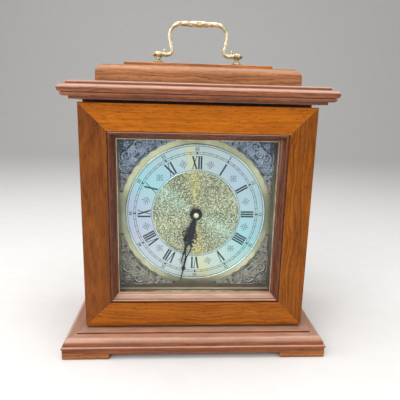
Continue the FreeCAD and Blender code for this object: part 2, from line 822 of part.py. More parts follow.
def movement_case():
    half = movement_size / 2
    block = box(-half, half, movement_front, movement_back, dial_level - half, dial_level + half)
    upright = [e for e in block.Edges
               if abs(e.Vertexes[0].Point.y - e.Vertexes[1].Point.y) > movement_depth - 0.01]
    block = block.makeChamfer(movement_corner, upright)
    block = block.fuse(dial_bar(bush_radius, bush_tip, movement_front))
    room = cell_radius + cell_clearance
    bay_half = cell_length / 2 + cell_clearance
    bay = box(-bay_half, bay_half, cell_axis_y() - room, movement_back + 1,
              bay_middle() - room, bay_middle() + room)
    pipe_bore = dial_bar(pipe_radius + running_clearance, bush_tip - 1,
                          movement_front + pipe_depth + end_clearance)
    arbor_bore = dial_bar(arbor_radius + running_clearance, bush_tip,
                           movement_front + arbor_depth + end_clearance)
    stem_bore = bar(knob_stem_radius + running_clearance, knob_place(-knob_stem_depth - end_clearance),
                         knob_place(1))
    return block.cut([bay, pipe_bore, arbor_bore, stem_bore]).removeSplitter()


def cell():
    x = cell_length / 2
    y, z = cell_axis_y(), bay_middle()
    can = bar(cell_radius, Vector(-x, y, z), Vector(x - 1.3, y, z))
    return can.fuse(bar(2.6, Vector(x - 1.3, y, z), Vector(x, y, z))).removeSplitter()


def knob_place(out):
    """A point on the setting knob's axis, its distance behind the movement given.  X is mirrored
    because the knob's side is named as seen from behind."""
    return Vector(-knob_right, movement_back + out, dial_level + knob_up)


def setting_knob():
    """A ribbed wheel on a stem, its ribs made by the corners of a star."""
    stem = bar(knob_stem_radius, knob_place(-knob_stem_depth), knob_place(knob_stand_off))
    corners = []
    for corner in range(2 * knob_ribs + 1):
        a = math.pi * corner / knob_ribs
        radius = knob_radius - (knob_rib_depth if corner % 2 else 0)
        corners.append(knob_place(knob_stand_off) + Vector(math.cos(a), 0, math.sin(a)) * radius)
    wheel = prism(Part.makePolygon(corners), Vector(0, knob_thickness, 0))
    return fused([stem, wheel])


def bush_nut():
    nut = hexagon_nut(bush_nut_flats, bush_nut_thickness, bush_radius,
                      dial_point(0, 0, disc_front), Vector(0, -1, 0))
    return nut


def rubber_washer():
    washer = dial_bar(washer_radius, plate_back, movement_front)
    return washer.cut(dial_bar(bush_radius, plate_back - 1, movement_front + 1))


# ---- hands -----------------------------------------------------------------------------------------
def flat_polygon(points, y):
    wire = Part.makePolygon([dial_point(x, z, y) for x, z in points + points[:1]])
    return prism(wire, Vector(0, hand_thickness, 0))


def mirrored(points):
    return points + [(-x, z) for x, z in reversed(points)]


def bow(low, high, bulge, width, y):
    """Two arc bands bowed apart between two points on the hand's middle line."""
    half = (high - low) / 2
    middle = (high + low) / 2
    radius = (half * half + bulge * bulge) / (2 * bulge)
    span = math.degrees(math.asin(half / radius))
    right = band((bulge - radius, middle), radius, -span, span, width, y, hand_thickness)
    left = band((radius - bulge, middle), radius, 180 - span, 180 + span, width, y, hand_thickness)
    return [right, left]


def scroll_pair(level, out, radius, width, y):
    """A pair of curls that spring from the stem."""
    parts = []
    for sign in (-1, 1):
        first, last = (-150, 110) if sign > 0 else (70, 330)
        parts.append(band((sign * out, level), radius, first, last, width, y, hand_thickness))
    return parts


def serpentine(length, hub, curl_out, curl_radius, bulge, y):
    """A pierced hand that points up: hub, stem with two curls, an open bow and a tapered point."""
    stem_end = length * hand_stem_share
    bow_end = length * hand_bow_share
    parts = [bar(hub, dial_point(0, 0, y), dial_point(0, 0, y + hand_thickness))]
    parts.append(flat_polygon(mirrored([(1.3, hub - 1), (2.1, stem_end * 0.75), (1.0, stem_end)]), y))
    parts += scroll_pair(length * hand_curl_share, curl_out, curl_radius, 1.1, y)
    parts += bow(stem_end - 1.0, bow_end, bulge, 1.2, y)
    parts.append(flat_polygon(mirrored([(0.9, bow_end - 1.2), (1.3, (bow_end + length * 0.82) / 2),
                                        (0.7, length * 0.82), (0.35, length)]), y))
    return parts


def turned_hand(parts, angle):
    hand = fused(parts)
    hand.rotate(dial_point(0, 0, 0), Vector(0, 1, 0), angle)
    return hand


def hour_hand():
    y = hour_hand_front
    parts = serpentine(hour_hand_length, hour_hub_radius, 4.6, 3.6, 3.0, y)
    inner_end = movement_front + pipe_depth
    parts.append(dial_bar(pipe_radius, y, inner_end))
    parts.append(dial_bar(hour_collet_radius, y, bush_tip - hour_collet_clearance))
    hand = turned_hand(parts, hour_angle)
    bore = arbor_radius + running_clearance
    return hand.cut(dial_bar(bore, y - 1, inner_end + 1))


def minute_hand():
    y = minute_hand_front
    parts = serpentine(minute_hand_length, minute_hub_radius, 3.8, 3.0, 2.5, y)
    cross = minute_hand_length * 0.8
    parts.append(flat_polygon(mirrored([(0.5, cross - 2.6), (2.5, cross), (0.5, cross + 2.6)]), y))
    hand = turned_hand(parts, minute_angle)
    return hand.cut(dial_bar(arbor_radius, y - 1, y + 1))


def minute_arbor():
    return dial_bar(arbor_radius, minute_hand_front - 1.6, movement_front + arbor_depth)


def hand_nut():
    def place(across, up, out):
        return dial_point(across, up, minute_hand_front - out)
    nut = faceted(((0, 0), (hand_nut_radius, 0), (hand_nut_radius, hand_nut_height * 0.45),
                   (hand_nut_radius * 0.6, hand_nut_height), (0, hand_nut_height)), bar_sides, place)
    return nut.cut(minute_arbor())


# ---- back door -------------------------------------------------------------------------------------
def back_door_panel():
    half = back_door_half
    panel = box(-half, half, case_back - back_door_thickness, case_back, back_door_bottom, back_door_top)
    cuts = [back_leaf_recess(z0, 1) for z0 in back_hinge_starts()]
    cuts.append(back_strike())
    return panel.cut(cuts)


def back_door_knob():
    x = inside_width / 2 - back_knob_inset

    def place(across, up, out):
        return Vector(x + across, case_back + out, dial_level + up)
    wide, high = back_knob_radius, back_knob_length
    return faceted(((0, 0), (wide * 0.45, 0), (wide * 0.45, high * 0.36), (wide, high * 0.64),
                    (wide, high * 0.8), (wide * 0.6, high), (0, high)), bar_sides, place)


# ---- handle ----------------------------------------------------------------------------------------
def lug(sign):
    """The upstanding lug on a foot of the bail."""
    start = sign * (post_spacing / 2 - lug_offset - lug_thickness / 2)

    def place(y, z):
        return Vector(start, case_middle + y, pivot_level + z)
    tip = lug_height - lug_tip_radius
    wire = outline(place, (-lug_radius, 0), ((0, -lug_radius), (lug_radius, 0)), (lug_tip_radius, tip),
                   ((0, lug_height), (-lug_tip_radius, tip)))
    return prism(wire, Vector(sign * lug_thickness, 0, 0))


def bail_half(sign):
    """One leg, from the grip's end over the shoulder and down to the curl, with lug and pivot pin."""
    top = pivot_level + bail_rise
    lean = math.radians(leg_lean)

    def at(x, z):
        return Vector(sign * x, case_middle, z)

    def section(place, up):
        """The bail's section across its middle line, with its flats' corners level with the line."""
        side = Vector(0, 1, 0)
        turns = [2 * math.pi * i / bail_sides for i in range(bail_sides + 1)]
        return Part.Face(Part.makePolygon(
            [place + (up * math.cos(a) + side * math.sin(a)) * bail_radius for a in turns]))

    def bent(place, centre, degrees):
        up = (place - centre).normalize()
        return section(place, up).revolve(centre, Vector(0, 1, 0), degrees)

    def straight(start, end):
        along = end - start
        up = along.cross(Vector(0, 1, 0)).normalize()
        return section(start, up).extrude(along)

    shoulder = at(shoulder_half_span - shoulder_radius, top - shoulder_radius)
    arc_start = at(shoulder_half_span - shoulder_radius, top)
    arc_end = shoulder + Vector(sign * math.cos(lean), 0, -math.sin(lean)) * shoulder_radius
    curl_z = pivot_level + foot_curl_radius
    leg_z = curl_z + foot_curl_radius * math.sin(lean)
    leg_x = abs(arc_end.x) - (arc_end.z - leg_z) * math.tan(lean)
    curl = at(leg_x + foot_curl_radius * math.cos(lean), curl_z)
    curl_start = at(leg_x, leg_z)
    curl_end = at(abs(curl.x), pivot_level)
    swing = 90 + leg_lean
    shoulder_x = post_spacing / 2 - eye_half_width - eye_clearance
    return [
        straight(at(grip_half_length, top), arc_start),
        bent(arc_start, shoulder, sign * swing),
        straight(arc_end, curl_start),
        bent(curl_end, curl, sign * swing),
        straight(curl_end, at(shoulder_x, pivot_level)),
        lug(sign),
        bar(bail_pin_radius, at(shoulder_x, pivot_level),
                 at(post_spacing / 2 + eye_half_width + eye_clearance, pivot_level)),
    ]


def grip():
    """The cast grip: a spindle between the legs, with two leaf cusps under it."""
    top = pivot_level + bail_rise

    def place(across, up, along):
        return Vector(along, case_middle + across, top + up)
    half = grip_half_length
    spindle = faceted(((0, -half), (bail_radius, -half), (grip_radius, -half / 3),
                       (grip_radius, half / 3), (bail_radius, half), (0, half)), bail_sides, place)
    cusps = [bar(cusp_radius, place(0, -cusp_reach, x), place(0, 0, x))
             for x in (-cusp_offset, cusp_offset)]
    return fused([spindle] + cusps)


def bail():
    return fused([grip()] + bail_half(-1) + bail_half(1))


def acorn(sign):
    start = post_spacing / 2 + eye_half_width + eye_clearance

    def place(across, up, along):
        return Vector(sign * (start + along), case_middle + across, pivot_level + up)
    wide, high = acorn_radius, acorn_length
    return faceted(((0, 0), (wide * 0.7, 0), (wide, high * 0.25), (wide * 0.8, high * 0.6),
                    (wide * 0.25, high), (0, high)), bail_sides, place)


def rosette(spot):
    def place(across, deep, up):
        return Vector(spot.x + across, spot.y + deep, plinth_top + up)
    big = rosette_radius
    high = rosette_height
    collar = post_foot_radius + rosette_collar
    body = faceted(((0, 0), (big, 0), (big * 0.92, high * 0.3), (big * 0.62, high * 0.72),
                    (collar, high * 0.85), (collar, high), (0, high)), rosette_sides, place)
    return body.cut(stud_holes(plinth_top - 1, plinth_top + high + 1))


def post(spot):
    """A turned post: foot, waist, drilled eye, and the stud that goes down through the top."""
    base = plinth_top + rosette_height
    middle = Vector(spot.x, spot.y, pivot_level)
    across = Vector(eye_half_width, 0, 0)
    eye = bar(eye_radius, middle - across, middle + across)

    def at(z):
        return Vector(spot.x, spot.y, z)
    foot = bar(post_foot_radius, at(base), at(base + post_foot_height))
    stem = bar(post_neck_radius, at(base), at(pivot_level - bail_pin_radius - 1))
    stud = bar(stud_radius, at(plinth_top - stud_length), at(base))
    hole = bar(bail_pin_radius + running_clearance, middle - across * 2, middle + across * 2)
    return fused([foot, stem, eye, stud]).cut(hole)


def stud_nuts():
    """Square washers and hexagon nuts under the top board."""
    nuts = []
    half = stud_washer_half
    for spot in stud_places():
        top = Vector(spot.x, spot.y, cornice_level)
        under = top - Vector(0, 0, stud_washer_thickness)
        washer = box(top.x - half, top.x + half, top.y - half, top.y + half, under.z, top.z)
        nuts.append(washer.cut(bar(stud_radius, under - Vector(0, 0, 1), top + Vector(0, 0, 1))))
        nuts.append(hexagon_nut(stud_nut_flats, stud_nut_thickness, stud_radius, under, Vector(0, 0, -1)))
    return Part.makeCompound(nuts)


# ---- the whole clock -------------------------------------------------------------------------------
def all_parts():
    parts = {}
    parts.update(base_parts())
    parts["side_panel_left"] = side_panel(-1)
    parts["side_panel_right"] = side_panel(1)
    parts.update(front_frame())
    parts.update(top_parts())
    parts["glue_blocks"] = glue_blocks()
    parts["fixed_hinge_leaves"] = Part.makeCompound(front_hinges("fixed") + back_hinges("fixed"))
    parts["hinge_pins"] = Part.makeCompound(front_hinges("pin") + back_hinges("pin"))
    parts["catch_magnets"] = catch_magnets()
    parts.update(door_members())
    parts["door_lip"] = four_strips(lip_profile())
    parts["door_glass"] = door_glass()
    parts["glass_beads"] = four_strips(bead_profile())
    parts["door_hinge_leaves"] = Part.makeCompound(front_hinges("moving"))
    parts["door_strike"] = front_strike()
    parts["dial_plate"] = dial_plate()
    parts["chapter_ring"] = chapter_ring()
    parts["dial_centre"] = dial_centre()
    parts.update(spandrels())
    parts["dial_clips"] = dial_clips()
    parts["movement_case"] = movement_case()
    parts["power_cell"] = cell()
    parts["setting_knob"] = setting_knob()
    parts["bush_nut"] = bush_nut()
    parts["rubber_washer"] = rubber_washer()
    parts["hour_hand"] = hour_hand()
    parts["minute_hand"] = minute_hand()
    parts["minute_arbor"] = minute_arbor()
    parts["hand_nut"] = hand_nut()
    parts["back_door"] = back_door_panel()
    parts["back_door_hinge_leaves"] = Part.makeCompound(back_hinges("moving"))
    parts["back_door_knob"] = back_door_knob()
    parts["back_door_strike"] = back_strike()
    parts["bail"] = bail()
    parts["bail_acorns"] = Part.makeCompound([acorn(-1), acorn(1)])
    parts["handle_rosettes"] = Part.makeCompound([rosette(p) for p in stud_places()])
    parts["handle_posts"] = Part.makeCompound([post(p) for p in stud_places()])
    parts["handle_nuts"] = stud_nuts()
    return parts


def write_parts():
    os.makedirs("parts", exist_ok=True)
    for name, shape in all_parts().items():
        shape.exportStep("parts/" + name + ".step")
        print(name, "solids", len(shape.Solids), "volume", round(shape.Volume, 1), "valid", shape.isValid())


write_parts()
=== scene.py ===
"""Looks of a bracket clock in a stained wooden case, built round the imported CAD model.

The CAD solids stay where they are and get their finishes here. What a solid can't show is built in mesh
code and rides on the same body: the printing on the chapter ring, the cast corner pieces, the handle.
"""

from __future__ import annotations

import json
import logging
import math
from dataclasses import dataclass, field
from enum import Enum
from typing import Callable, Iterable, Sequence

import bpy
import numpy as np
from mathutils import Matrix, Vector
from mathutils.geometry import tessellate_polygon

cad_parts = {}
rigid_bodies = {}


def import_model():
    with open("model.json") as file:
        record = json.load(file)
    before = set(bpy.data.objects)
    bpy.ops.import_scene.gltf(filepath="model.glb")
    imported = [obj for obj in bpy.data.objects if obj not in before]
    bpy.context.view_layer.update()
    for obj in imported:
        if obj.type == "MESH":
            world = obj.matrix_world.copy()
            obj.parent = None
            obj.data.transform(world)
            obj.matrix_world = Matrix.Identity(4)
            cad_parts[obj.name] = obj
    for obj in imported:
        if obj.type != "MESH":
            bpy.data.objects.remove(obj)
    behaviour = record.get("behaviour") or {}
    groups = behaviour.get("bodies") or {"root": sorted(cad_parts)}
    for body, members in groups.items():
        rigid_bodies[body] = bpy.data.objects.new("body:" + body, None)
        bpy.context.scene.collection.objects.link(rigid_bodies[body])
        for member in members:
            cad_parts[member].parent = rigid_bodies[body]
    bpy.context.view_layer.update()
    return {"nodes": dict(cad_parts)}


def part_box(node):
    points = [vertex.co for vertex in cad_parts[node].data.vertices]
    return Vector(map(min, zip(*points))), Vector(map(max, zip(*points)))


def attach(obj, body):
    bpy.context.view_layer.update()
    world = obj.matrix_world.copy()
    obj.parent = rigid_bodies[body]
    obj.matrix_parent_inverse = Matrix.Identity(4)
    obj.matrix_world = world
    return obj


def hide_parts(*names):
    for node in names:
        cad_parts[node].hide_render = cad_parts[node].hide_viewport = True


for _leftover in list(bpy.data.objects):
    bpy.data.objects.remove(_leftover)
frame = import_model()

log = logging.getLogger("clock")
MM = 0.001
Colour = tuple[float, float, float, float]
Point = tuple[float, float]
Point3 = tuple[float, float, float]
Socket = bpy.types.NodeSocket

# Shared places, in millimetres in the row frame: the hands' axis and the faces of the dial's layers.
DIAL_LEVEL = (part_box("dial_plate")[0].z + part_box("dial_plate")[1].z) / 2 / MM
PLATE_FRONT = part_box("dial_plate")[0].y / MM
RING_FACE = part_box("chapter_ring")[0].y / MM


# ---- colour and nodes ------------------------------------------------------------------------------
def linear(code: str, alpha: float = 1.0) -> Colour:
    """Turns an sRGB hex code into the linear colour that shaders take.

    Args:
        code: Six hex digits after a hash sign.
        alpha: Opacity to carry along.

    Returns:
        Red, green, blue and alpha.
    """
    parts = [int(code[i:i + 2], 16) / 255 for i in (1, 3, 5)]
    shades = [p / 12.92 if p <= 0.04045 else ((p + 0.055) / 1.055) ** 2.4 for p in parts]
    return (shades[0], shades[1], shades[2], alpha)


def grey(value: float) -> Colour:
    """Returns a grey of that linear value."""
    return (value, value, value, 1.0)


def feed(tree: bpy.types.NodeTree, node: bpy.types.Node, inputs: dict) -> None:
    """Sets or links inputs of a node.

    Args:
        tree: The node tree that holds the node.
        node: The node that is fed.
        inputs: Values or output sockets by input name or number.
    """
    for key, value in inputs.items():
        if isinstance(value, Socket):
            tree.links.new(value, node.inputs[key])
        else:
            node.inputs[key].default_value = value


def add_node(tree: bpy.types.NodeTree, kind: str, inputs: dict | None = None,
             stops: Sequence[tuple[float, Colour]] = (), **settings: object) -> bpy.types.Node:
    """Adds one node with its settings, and values or links for its inputs.

    Args:
        tree: The node tree that gets the node.
        kind: The node's Blender type, without the words ShaderNode in front.
        inputs: Values or output sockets by input name or number.
        stops: Places and colours of a colour ramp, from left to right.
        settings: Properties of the node.

    Returns:
        The new node.
    """
    node = tree.nodes.new("ShaderNode" + kind)
    for key, value in settings.items():
        setattr(node, key, value)
    if stops:
        ramp = node.color_ramp
        while len(ramp.elements) < len(stops):
            ramp.elements.new(0.5)
        for element, (place, colour) in zip(ramp.elements, stops):
            element.position = place
            element.color = colour
    feed(tree, node, inputs or {})
    return node


@dataclass(frozen=True)
class Bench:
    """The node tree of a material in the making, with the patterns that the finishes share.

    Args:
        tree: The node tree.
    """

    tree: bpy.types.NodeTree

    def maths(self, operation: str, *values: Socket | float) -> Socket:
        """Works out a number from numbers."""
        return add_node(self.tree, "Math", dict(enumerate(values)), operation=operation).outputs[0]

    def vector(self, operation: str, *values: Socket | Sequence[float], output: int = 0) -> Socket:
        """Works out a vector, or a number with output 1."""
        node = add_node(self.tree, "VectorMath", dict(enumerate(values)), operation=operation)
        return node.outputs[output]

    def scaled(self, vector: Socket | Sequence[float], factor: Socket | float) -> Socket:
        """Scales a vector."""
        return add_node(self.tree, "VectorMath", {0: vector, "Scale": factor}, operation="SCALE").outputs[0]

    def parts(self, vector: Socket) -> Sequence[Socket]:
        """Splits a vector into x, y and z."""
        return add_node(self.tree, "SeparateXYZ", {0: vector}).outputs

    def place(self) -> Socket:
        """Gives the place on the object in millimetres."""
        return self.scaled(add_node(self.tree, "TexCoord").outputs["Object"], 1 / MM)

    def surface(self, output: str) -> Socket:
        """Gives a value of the shaded surface, such as its normal."""
        return add_node(self.tree, "NewGeometry").outputs[output]

    def above_axis(self, z: Socket) -> Socket:
        """Gives the height above the hands' axis."""
        return self.maths("SUBTRACT", z, DIAL_LEVEL)

    def speckle(self, place: Socket, size: float | Sequence[float], detail: float = 2.0,
                shift: float = 0.0) -> Socket:
        """Gives noise whose grains have the given size.

        Args:
            place: The place in millimetres.
            size: Length of a grain, or its lengths along x, y and z, in millimetres.
            detail: Octaves of finer noise.
            shift: Moves the pattern, so that two pieces differ.

        Returns:
            The noise, from 0 to 1.
        """
        sizes = size if isinstance(size, Sequence) else (size,) * 3
        moved = self.vector("MULTIPLY_ADD", place, [1 / s for s in sizes], (shift, shift * 1.7, shift * 2.3))
        return add_node(self.tree, "TexNoise", {"Vector": moved, "Scale": 1.0, "Detail": detail,
                                                "Roughness": 0.55}).outputs[0]

    def lines(self, way: Socket, scale: float, detail: float) -> Socket:
        """Gives noise that changes along one way only."""
        return add_node(self.tree, "TexNoise", {"W": way, "Scale": scale, "Detail": detail,
                                                "Roughness": 0.5}, noise_dimensions="1D").outputs[0]

    def sum_of(self, *terms: tuple[Socket, float], base: float = 0.0) -> Socket:
        """Adds weighted sockets.

        Args:
            terms: Sockets with their weights.
            base: What the sum starts from.

        Returns:
            The sum's socket.
        """
        total: Socket | float = base
        for socket, weight in terms:
            total = self.maths("MULTIPLY_ADD", socket, weight, total)
        return total

    def between(self, factor: Socket | float, first: Socket | str, second: Socket | str,
                blend: str = "MIX") -> Socket:
        """Mixes two colours.

        Args:
            factor: Share of the second colour.
            first: The first colour, as a socket or an sRGB hex code.
            second: The second colour.
            blend: Way of mixing.

        Returns:
            The mixed colour's socket.
        """
        ends = [linear(end) if isinstance(end, str) else end for end in (first, second)]
        return add_node(self.tree, "Mix", {0: factor, 6: ends[0], 7: ends[1]}, data_type="RGBA",
                        blend_type=blend).outputs[2]

    def step(self, value: Socket, low: float, high: float) -> Socket:
        """Rises smoothly from 0 at low to 1 at high."""
        return add_node(self.tree, "MapRange", {0: value, 1: low, 2: high, 3: 0.0, 4: 1.0},
                        interpolation_type="SMOOTHSTEP").outputs[0]

    def toned(self, value: Socket, tones: Sequence[tuple[float, str]]) -> Socket:
        """Turns a value into a colour between tones, given as places and sRGB hex codes."""
        return add_node(self.tree, "ValToRGB", {0: value},
                        tuple((at, linear(code)) for at, code in tones)).outputs[0]

    def clock_tone(self, place: Socket, turns: int, tones: Sequence[tuple[float, str]]) -> Socket:
        """Gives a tone by the angle round the hands' axis: a painted reflection of the light that fine turned
        lines spread.

        Args:
            place: The place in millimetres.
            turns: How many times the tones repeat round the clock.
            tones: Share of the repeat, clockwise from twelve, and the colour there.

        Returns:
            The colour's socket.
        """
        x, _, z = self.parts(place)
        share = self.maths("MULTIPLY", self.maths("ARCTAN2", x, self.above_axis(z)), turns / (2 * math.pi))
        return self.toned(self.maths("FLOORED_MODULO", share, 1.0), tones)

    def round_axis(self) -> Socket:
        """Gives the direction of lines turned round the hands' axis."""
        return add_node(self.tree, "Tangent", direction_type="RADIAL", axis="Y").outputs[0]

    def bump(self, height: Socket, depth_mm: float, strength: float = 1.0) -> Socket:
        """Gives the normal of a surface roughened by a height, where 1 stands for the depth."""
        return add_node(self.tree, "Bump", {"Height": height, "Distance": depth_mm * MM,
                                            "Strength": strength}).outputs[0]

    def hollows(self, reach_mm: float) -> Socket:
        """Finds hollows, where grime, stain and patina stay and where painted shade goes: 1 in the open and
        less in a hollow.
        """
        return add_node(self.tree, "AmbientOcclusion", {"Distance": reach_mm * MM}, samples=6).outputs["AO"]

    def arris(self, radius_mm: float) -> Socket:
        """Finds edges, where wear and a painted highlight go: 0 on a flat face and up to 1 on an edge."""
        rounded = add_node(self.tree, "Bevel", {"Radius": radius_mm * MM}, samples=4).outputs[0]
        return self.step(self.vector("DOT_PRODUCT", rounded, self.surface("Normal"), output=1), 0.995, 0.80)


class Grain(Enum):
    """The way a board's fibres run, in the row frame."""

    ACROSS = (0, 1, 2)
    DEEP = (1, 0, 2)
    UPRIGHT = (2, 0, 1)
    ROUND_DOOR = None


@dataclass(frozen=True)
class Finish:
    """A material and how its surface was made.

    Args:
        name: Name of the material.
    """

    name: str

    def dress(self, bench: Bench) -> dict[str, object]:
        """Adds the nodes of the finish.

        Args:
            bench: The material's bench.

        Returns:
            Values or sockets for the inputs of the Principled shader.
        """
        raise NotImplementedError

    def shade(self, tree: bpy.types.NodeTree) -> bpy.types.Node:
        """Adds the shader and all that feeds it.

        Args:
            tree: The material's node tree.

        Returns:
            The shader.
        """
        shader = add_node(tree, "BsdfPrincipled")
        feed(tree, shader, self.dress(Bench(tree)))
        return shader

    def material(self) -> bpy.types.Material:
        """Makes the material once.

        Returns:
            The material, new or made before.
        """
        made = bpy.data.materials.get(self.name)
        if made is None:
            made = bpy.data.materials.new(self.name)
            made.use_nodes = True
            made.node_tree.nodes.clear()
            shader = self.shade(made.node_tree)
            add_node(made.node_tree, "OutputMaterial", {"Surface": shader.outputs[0]})
        return made


@dataclass(frozen=True)
class StainedHardwood(Finish):
    """Close-grained hardwood with a red-brown stain, sprayed with satin lacquer.

    The stain sinks deeper into the bands of late wood and the pores, so these read darker; the lacquer
    gives a soft pale sheen at glancing angles.

    Args:
        light: Tone of the early wood.
        dark: Tone of the late wood.
        grain: The way the fibres run.
        pith: How far the tree's middle lies from the board, across and deep, in millimetres.
        seed: Moves the pattern, so that two boards differ.
        figure: Share of the growth bands in the tone.
        lacquer: Weight of the lacquer's sheen.
        painted_sheen: Share of the painted sheen, a pale highlight on faces that look up.
        band_mm: Width of a growth band on the face, as a slash-cut board shows it.
        fibre_mm: Size of a fibre. Real ones are a few hundredths wide; drawn wider so that they show.
        pore_mm: Size of a pore. Real ones are 0.1 mm across; drawn wider so that they show.
        pore_tone: Tone of the stain in the pores.
        dirt_and_shade_tone: Tone of the grime and painted shade in the hollows.
        edge_wear_and_highlight_tone: Tone of the edges, lightened by wear and as a painted highlight.
        painted_sheen_tone: Tone of the painted sheen.
    """

    light: str
    dark: str
    grain: Grain
    pith: Point
    seed: float
    figure: float
    lacquer: float
    painted_sheen: float = 0.0
    band_mm: float = 2.6
    fibre_mm: Point3 = (16, 0.9, 0.9)
    pore_mm: Point3 = (6.0, 0.75, 0.75)
    pore_tone: str = "#2c1206"
    dirt_and_shade_tone: str = "#1d0a04"
    edge_wear_and_highlight_tone: str = "#d9a070"
    painted_sheen_tone: str = "#e6bca2"

    def along_grain(self, bench: Bench) -> Socket:
        """Turns the place so that its x runs along the fibres.

        Args:
            bench: The material's bench.

        Returns:
            The turned place in millimetres.
        """
        parts = bench.parts(bench.place())

        def turned(grain: Grain) -> Socket:
            """Returns the place with its axes in the grain's order."""
            return add_node(bench.tree, "CombineXYZ",
                            {i: parts[axis] for i, axis in enumerate(grain.value)}).outputs[0]

        if self.grain is not Grain.ROUND_DOOR:
            return turned(self.grain)
        high = bench.maths("ABSOLUTE", bench.above_axis(parts[2]))
        upright = bench.maths("GREATER_THAN", bench.maths("ABSOLUTE", parts[0]), high)
        return add_node(bench.tree, "Mix", {0: upright, 4: turned(Grain.ACROSS), 5: turned(Grain.UPRIGHT)},
                        data_type="VECTOR").outputs[1]

    def dress(self, bench: Bench) -> dict[str, object]:
        """Adds the nodes of the finish.

        Args:
            bench: The material's bench.

        Returns:
            Values or sockets for the inputs of the Principled shader.
        """
        place = self.along_grain(bench)

        def spots(size: Sequence[float], detail: float, shift: float) -> Socket:
            """Returns noise along the grain that differs from board to board."""
            return bench.speckle(place, size, detail, self.seed + shift)

        # A board's fibres wander a few millimetres over a hand's breadth.
        wander = bench.scaled((0.0, 22.0, 14.0), spots((70, 26, 26), 2.0, 0))
        from_pith = bench.vector("MULTIPLY_ADD", bench.vector("ADD", place, wander), (0.06, 1.0, 1.0),
                                 (0.0, *self.pith))
        count = bench.maths("MULTIPLY_ADD", bench.vector("LENGTH", from_pith, output=1), 1 / self.band_mm,
                            self.seed * 3.1)
        bands = bench.lines(count, 1.0, 1.5)
        fibres = spots(self.fibre_mm, 3.0, 5)
        mottle = spots((38, 13, 13), 2.0, 9)
        tone = bench.sum_of((bands, self.figure * 2), (fibres, 0.7), (mottle, 0.7),
                            base=-0.20 - self.figure)
        wood = bench.between(bench.step(tone, 0.05, 0.95), self.dark, self.light)
        pores = bench.step(spots(self.pore_mm, 1.0, 13), 0.60, 0.70)
        pored = bench.between(bench.sum_of((pores, 0.5)), wood, self.pore_tone)
        # Painted shade: the hollows darken, as shade falls there, together with grime.
        dirt_and_shade = bench.step(bench.hollows(5.0), 0.75, 0.25)
        hollow_darkened = bench.between(bench.sum_of((dirt_and_shade, 0.75)), pored, self.dirt_and_shade_tone)
        # Painted highlight: the edges lighten, partly with wear and partly as the highlight that light puts on
        # an arris.
        edge_wear_and_highlight = bench.maths("MULTIPLY", bench.arris(0.7), bench.step(spots((9, 9, 9), 2.0, 21), 0.45, 0.65))
        edges_worn_and_lit = bench.between(bench.sum_of((edge_wear_and_highlight, 0.45)), hollow_darkened, self.edge_wear_and_highlight_tone)
        # Painted sheen: faces that look up lighten towards a pale tone, as a highlight of the light overhead.
        facing_up = bench.step(bench.parts(bench.surface("Normal"))[2], 0.12, 0.75)
        painted_top_sheen = bench.maths("MULTIPLY", facing_up, bench.sum_of((spots((24, 7, 7), 2.0, 27), 0.8), base=0.55))
        relief = bench.sum_of((fibres, 0.5), (pores, -0.8), base=0.5)
        # The gloss comes from the lacquer's coat, so the wood under it stays dull; the pale sheen on faces that
        # look up is painted into the base colour.
        return {"Base Color": bench.between(bench.sum_of((painted_top_sheen, self.painted_sheen)), edges_worn_and_lit, self.painted_sheen_tone),
                "Roughness": bench.sum_of((fibres, 0.14), (pores, 0.15), base=0.33),
                "IOR": 1.5, "Specular IOR Level": 0.1, "Coat Weight": self.lacquer,
                "Coat Roughness": 0.16, "Coat IOR": 1.5, "Normal": bench.bump(relief, 0.05, 0.5)}


@dataclass(frozen=True)
class Metal(Finish):
    """A metal with a skin marked by wear: bright on what stands proud, dark in the hollows, where the dark is
    patina and painted shade.

    Args:
        bright: Colour of the clean metal.
        dull: Colour where it has toned down.
        deep: Colour in the hollows.
        roughness: Roughness of the skin.
        mottle_mm: Size of the toned patches.
        reach_mm: How far a hollow reaches.
        grit_mm: Size of the skin's grain.
        grit_depth_mm: Depth of the skin's grain.
        hollow: Share of the deep colour in a full hollow.
    """

    bright: str
    dull: str
    deep: str
    roughness: float
    mottle_mm: float
    reach_mm: float
    grit_mm: float
    grit_depth_mm: float
    hollow: float

    def dress(self, bench: Bench) -> dict[str, object]:
        """Adds the nodes of the finish.

        Args:
            bench: The material's bench.

        Returns:
            Values or sockets for the inputs of the Principled shader.
        """
        place = bench.place()
        patches = bench.speckle(place, self.mottle_mm, 3.0, 1.0)
        grit = bench.speckle(place, self.grit_mm, 2.0, 4.0)
        skin = bench.between(bench.step(patches, 0.35, 0.65), self.bright, self.dull)
        # Patina and painted shade: the hollows darken, as patina gathers and shade falls there.
        dirt_and_shade = bench.step(bench.hollows(self.reach_mm), 0.85, 0.25)
        return {"Base Color": bench.between(bench.sum_of((dirt_and_shade, self.hollow)), skin, self.deep),
                "Metallic": 1.0,
                "Roughness": bench.sum_of((patches, 0.12), (dirt_and_shade, 0.2), base=self.roughness - 0.06),
                "Normal": bench.bump(grit, self.grit_depth_mm)}


